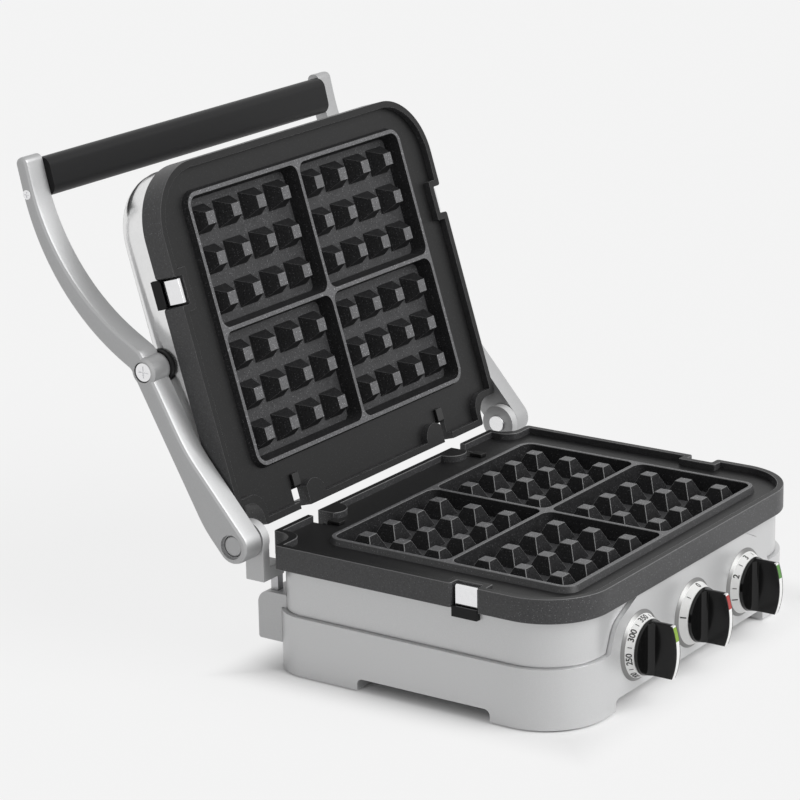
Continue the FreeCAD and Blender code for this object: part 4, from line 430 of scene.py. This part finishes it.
# %% Rounded pieces in place of the solids
BEVEL_SEGMENTS = 2
SLOT_INSTEAD = {"hinge_caps": "cast_silver"}
EDGE_RADII_MM = {
    "lower_waffle_plate": 0.6, "upper_waffle_plate": 0.6, "lower_case": 0.5, "upper_case": 0.4,
    "lid_cover": 0.4, "arm_left": 1.6, "arm_right": 1.6, "handle_grip": 0.6, "knob_left": 0.7,
    "knob_middle": 0.7, "knob_right": 0.7, "dial_ring_left": 0.3, "dial_ring_middle": 0.3,
    "dial_ring_right": 0.3, "hinge_tower_left": 1.0, "hinge_tower_right": 1.0, "hinge_bracket_left": 1.0,
    "hinge_bracket_right": 1.0, "lower_clip_left": 0.25, "lower_clip_right": 0.25, "upper_clip_left": 0.25,
    "upper_clip_right": 0.25, "lower_clip_pockets": 0.3, "upper_clip_pockets": 0.3, "hinge_caps": 0.4,
    "lid_pivot_screws": 0.3, "handle_screws": 0.3, "lid_pivot_bushes": 0.5, "lower_plate_hooks": 0.3,
    "upper_plate_hooks": 0.3, "hinge_pins": 0.4, "lid_frame": 0.4, "rubber_feet": 0.4, "bottom_cover": 0.3,
    "cord_gland": 0.4,
}
node_body = {node: body for body, nodes in frame["record"]["behaviour"]["bodies"].items() for node in nodes}


def softened(node, radius_mm):
    """A merged copy of a solid with rounded edges, riding on the same body, in place of the solid."""
    slot = SLOT_INSTEAD.get(node, node_slot[node])
    coated = slot == "nonstick"
    mesh = merged_mesh(node, outer_edges_only=coated)
    mesh.materials.append(FINISHES[slot])
    piece = new_object(node + "_piece", mesh)
    bevel = piece.modifiers.new("edges", "BEVEL")
    bevel.width = radius_mm * MM
    bevel.segments = BEVEL_SEGMENTS
    bevel.limit_method = "WEIGHT"
    bevel.use_clamp_overlap = True
    bevel.harden_normals = True
    # The coated plates' rounded edges get the painted highlight material.
    if coated:
        mesh.materials.append(painted_edge_highlight)
        bevel.material = mesh.materials.find(painted_edge_highlight.name)
    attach(piece, node_body[node])
    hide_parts(node)
    return piece


pieces = {node: softened(node, radius) for node, radius in EDGE_RADII_MM.items()}
print("softened", len(pieces), "of", len(frame["nodes"]))

# %% [markdown]
# ### Where light and shade are painted on the coating
# A face is told by where it lies and which way it looks, seen square to the food side of its plate. For
# the upper plate the faces are first swung back about the hinge to where they are with the lid closed,
# and there its food side looks straight down. The ridge is a rectangle with round corners, and on the
# upper plate its outside is dull as well, as painted shade. A value on each face, and not on each
# corner, keeps one tone from running into the next.

# %% Kinds of faces on a plate
RIDGE_HALF = np.array((121.4, 92.9)) * MM
RIDGE_CORNER = 9.7 * MM
CREST_ONLY = 0.2 * MM
CREST_AND_OUTSIDE = 1.8 * MM
TOP_DEPTH = 0.2 * MM
FLOOR_DEPTH = 8.0 * MM
LEVEL_FACING = 0.9
STEEP_FACING = 0.5
# Painted light and shade: pale tops are painted highlight, dull walls painted shade, floors paler, flats
# darker.
PAINTED_TONE_AND_SHEEN = {"top": (8.0, 0.40), "floor": (3.4, 0.20), "flat": (0.5, 0.28), "wall": (1.7, 0.03),
                  "skirt": (2.8, 0.50)}
all_joints = frame["record"]["behaviour"]["joints"]
hinge_joint = next(joint for joint in all_joints if joint["name"] == "arm_hinge")


def swung(vectors, degrees):
    """Vectors turned about the x axis by an angle: y' = y cos - z sin and z' = y sin + z cos."""
    turn = math.radians(degrees)
    y = vectors[:, 1] * math.cos(turn) - vectors[:, 2] * math.sin(turn)
    z = vectors[:, 1] * math.sin(turn) + vectors[:, 2] * math.cos(turn)
    return np.column_stack((vectors[:, 0], y, z))


def rows_of(elements, quantity):
    """A vector of every vertex or face of a mesh, as the rows of an array."""
    values = np.empty(len(elements) * 3, dtype=np.float32)
    elements.foreach_get(quantity, values)
    return values.reshape(-1, 3).astype(float)


def face_kinds(mesh, closed_angle, food_side, food_z, ridge_reach):
    """Kind of every face of a plate, as its place in PAINTED_TONE_AND_SHEEN.

    Facing is the share of a face's normal along the food side, which looks along z times food_side, and
    depth is how far the face lies below food_z. A face is inside the ridge where its distance from the
    rectangle through the centres of the round corners is under the corner's radius plus ridge_reach.
    """
    pivot = np.array(hinge_joint["pos_m"])
    centres = swung(rows_of(mesh.polygons, "center") - pivot, closed_angle) + pivot
    facing = swung(rows_of(mesh.polygons, "normal"), closed_angle)[:, 2] * food_side
    depth = (food_z - centres[:, 2]) * food_side
    past = np.maximum(np.abs(centres[:, :2] - np.array(grid_centre[:2])) - RIDGE_HALF + RIDGE_CORNER, 0.0)
    inside = np.hypot(past[:, 0], past[:, 1]) < RIDGE_CORNER + ridge_reach
    level = facing > LEVEL_FACING
    tests = {"top": level & (np.abs(depth) < TOP_DEPTH), "floor": level & (depth > FLOOR_DEPTH),
             "flat": level, "wall": inside, "skirt": np.abs(facing) < STEEP_FACING}
    names = list(PAINTED_TONE_AND_SHEEN)
    return np.select([tests[name] for name in names], range(len(names)), names.index("flat"))


# %% Painted light and shade attributes on both plates
PLATE_GAP = 1.25 * MM
PLATE_FOOD_SIDES = {
    "lower_waffle_plate": (0.0, 1.0, grid_centre.z, CREST_ONLY),
    "upper_waffle_plate": (hinge_joint["range_deg"][1], -1.0, grid_centre.z + PLATE_GAP, CREST_AND_OUTSIDE),
}
for node, food_side in PLATE_FOOD_SIDES.items():
    mesh = pieces[node].data
    kinds = face_kinds(mesh, *food_side)
    looks = np.array(list(PAINTED_TONE_AND_SHEEN.values()), dtype=np.float32)[kinds]
    for column, name in enumerate((PAINTED_TONE_ATTRIBUTE, PAINTED_SHEEN_ATTRIBUTE)):
        attribute = mesh.attributes.new(name, "FLOAT", "FACE")
        attribute.data.foreach_set("value", np.ascontiguousarray(looks[:, column]))
    print(node, dict(zip(PAINTED_TONE_AND_SHEEN, np.bincount(kinds, minlength=len(PAINTED_TONE_AND_SHEEN)).tolist())))

# %% [markdown]
# ## Dial marks
# The dials are printed with ticks and plain numbers that read clockwise round the white cone. A number
# is a text object made a mesh and wrapped onto the cone, and a tick is a short flat bar wrapped in the
# same way. Real marks on the mesh stay sharp at any distance, and need no picture.

# %% Shapes of the marks
MARK_HEIGHT = 4.0 * MM
MARK_THICK = 0.12 * MM
MARK_BOLD = 0.11 * MM
TEXT_SIZE_PER_HEIGHT = 1.4
TICK_HALF_WIDTH = 0.25 * MM
TICK_HALF_LENGTH = 1.4 * MM
BOX_FACES = [(0, 2, 3, 1), (4, 5, 7, 6), (0, 1, 5, 4), (2, 6, 7, 3), (0, 4, 6, 2), (1, 3, 7, 5)]


def word_mesh(word):
    """Vertices and faces of a flat word with its middle at the origin, standing MARK_THICK above zero."""
    curve = bpy.data.curves.new("word", "FONT")
    curve.body = word
    curve.align_x = "CENTER"
    curve.align_y = "CENTER"
    curve.size = MARK_HEIGHT * TEXT_SIZE_PER_HEIGHT
    curve.extrude = MARK_THICK / 2
    curve.offset = MARK_BOLD
    holder = new_object("word", curve)
    bpy.context.view_layer.update()
    mesh = bpy.data.meshes.new_from_object(holder.evaluated_get(bpy.context.evaluated_depsgraph_get()))
    points = rows_of(mesh.vertices, "co") + (0.0, 0.0, MARK_THICK / 2)
    faces = [tuple(face.vertices) for face in mesh.polygons]
    bpy.data.objects.remove(holder)
    bpy.data.curves.remove(curve)
    bpy.data.meshes.remove(mesh)
    return points, faces


def tick_mesh():
    """A short bar: the eight corners of a box, with x changing fastest, standing MARK_THICK above zero."""
    signs = np.indices((2, 2, 2)).reshape(3, -1)[::-1].T * 2 - 1
    points = signs * (TICK_HALF_WIDTH, TICK_HALF_LENGTH, MARK_THICK / 2) + (0.0, 0.0, MARK_THICK / 2)
    return points, BOX_FACES


# %% Marks wrapped on the dials
DIALS = ("left", "middle", "right")
DIAL_RIM_RADIUS = 20.9 * MM
DIAL_FACE_RADIUS = 18.4 * MM
TICK_AFTER = {"left": 23.0, "middle": 40.0, "right": 24.0}
MARK_WORDS = {
    "left": {-144.0: "200", -98.0: "250", -52.0: "300", -6.0: "350", 40.0: "400", 86.0: "450"},
    "middle": {-80.0: "1", 0.0: "0", 80.0: "2"},
    "right": {-108.0: "1", -60.0: "2", -12.0: "3", 36.0: "4", 84.0: "5"},
}
ink = finish("black_print_ink", (0.02, 0.02, 0.02), 0.5, 0.0, 0.5, 0.1, 0.05, 0.001)


def on_dial(points, dial, clock_degrees):
    """Flat points (across, outwards, thickness) wrapped on a dial's cone, reading clockwise.

    Outwards runs down the slope from the face to the rim, thickness runs square to the slope, and across is
    laid along the circle: angle = clock angle + across / radius.
    """
    low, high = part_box("dial_ring_" + dial)
    centre = (low + high) / 2
    rise = DIAL_RIM_RADIUS - DIAL_FACE_RADIUS
    run = high.y - DIAL_RIM_DEPTH - low.y
    slope = math.hypot(rise, run)
    middle_radius = (DIAL_RIM_RADIUS + DIAL_FACE_RADIUS) / 2
    radius = middle_radius + points[:, 1] * rise / slope + points[:, 2] * run / slope
    y = low.y + run / 2 + points[:, 1] * run / slope - points[:, 2] * rise / slope
    angle = math.radians(clock_degrees) + points[:, 0] / middle_radius
    return np.column_stack((centre.x + radius * np.sin(angle), y, centre.z + radius * np.cos(angle)))


def add_mesh_piece(name, points, faces, material, body):
    """A finished mesh piece at the origin, riding on a body."""
    mesh = bpy.data.meshes.new(name)
    mesh.from_pydata(points.tolist(), [], faces)
    mesh.materials.append(material)
    piece = new_object(name, mesh)
    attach(piece, body)


for dial in DIALS:
    all_points = []
    all_faces = []
    marks = [(angle, word_mesh(word)) for angle, word in MARK_WORDS[dial].items()]
    marks += [(angle + TICK_AFTER[dial], tick_mesh()) for angle in MARK_WORDS[dial]]
    for angle, (points, faces) in marks:
        start = sum(len(block) for block in all_points)
        all_points.append(on_dial(points, dial, angle))
        all_faces += [tuple(start + i for i in face) for face in faces]
    add_mesh_piece("dial_marks_" + dial, np.vstack(all_points), all_faces, ink, "base")
print("dial marks on", len(DIALS), "dials")

# %% [markdown]
# ## Knob windows
# A coloured window sits at the top of the pale strip on each knob. The strip's front is an arc, so the
# window is a rectangle carried along that arc, a little proud of the strip so that the two never show
# through each other.

# %% Coloured windows
WINDOW_COLOURS = {"left": (0.22, 0.36, 0.03), "middle": (0.36, 0.03, 0.025), "right": (0.08, 0.24, 0.04)}
WINDOW_SHARES = np.array((0.72, 0.97))
WINDOW_PROUD = 0.12 * MM
WINDOW_SUNK = 0.36 * MM
BLADE_ARC_RADIUS = 48.8 * MM
ARC_STEPS = 12
CORNERS = 4


def strip_window(dial):
    """Rectangle carried along the strip's front, which is the arc y = apex + R - sqrt(R*R - z*z)."""
    low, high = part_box("knob_strip_" + dial)
    middle = (low + high) / 2
    z = np.linspace(*(low.z + (high.z - low.z) * WINDOW_SHARES), ARC_STEPS)
    y = low.y + BLADE_ARC_RADIUS - np.sqrt(BLADE_ARC_RADIUS ** 2 - (z - middle.z) ** 2)
    half = (high.x - low.x) / 2
    loop_x = np.array((-half, half, half, -half)) + middle.x
    loop_y = np.array((-WINDOW_PROUD, -WINDOW_PROUD, WINDOW_SUNK, WINDOW_SUNK))
    points = np.stack([np.broadcast_to(loop_x, (ARC_STEPS, CORNERS)), y[:, None] + loop_y[None, :],
                       np.broadcast_to(z[:, None], (ARC_STEPS, CORNERS))], axis=-1).reshape(-1, 3)
    index = np.arange(ARC_STEPS * CORNERS).reshape(ARC_STEPS, CORNERS)
    turned = np.roll(index, -1, axis=1)
    sides = np.stack([index[:-1], turned[:-1], turned[1:], index[1:]], axis=-1).reshape(-1, 4)
    return points, sides.tolist() + [index[0][::-1].tolist(), index[-1].tolist()]


for dial in DIALS:
    tint = finish("window_tint_" + dial, WINDOW_COLOURS[dial], 0.25, 0.0, 1.0, 0.05, 0.03, 0.001)
    points, faces = strip_window(dial)
    add_mesh_piece("knob_window_" + dial, points, faces, tint, "knob_body_" + dial)
print("windows", WINDOW_COLOURS)
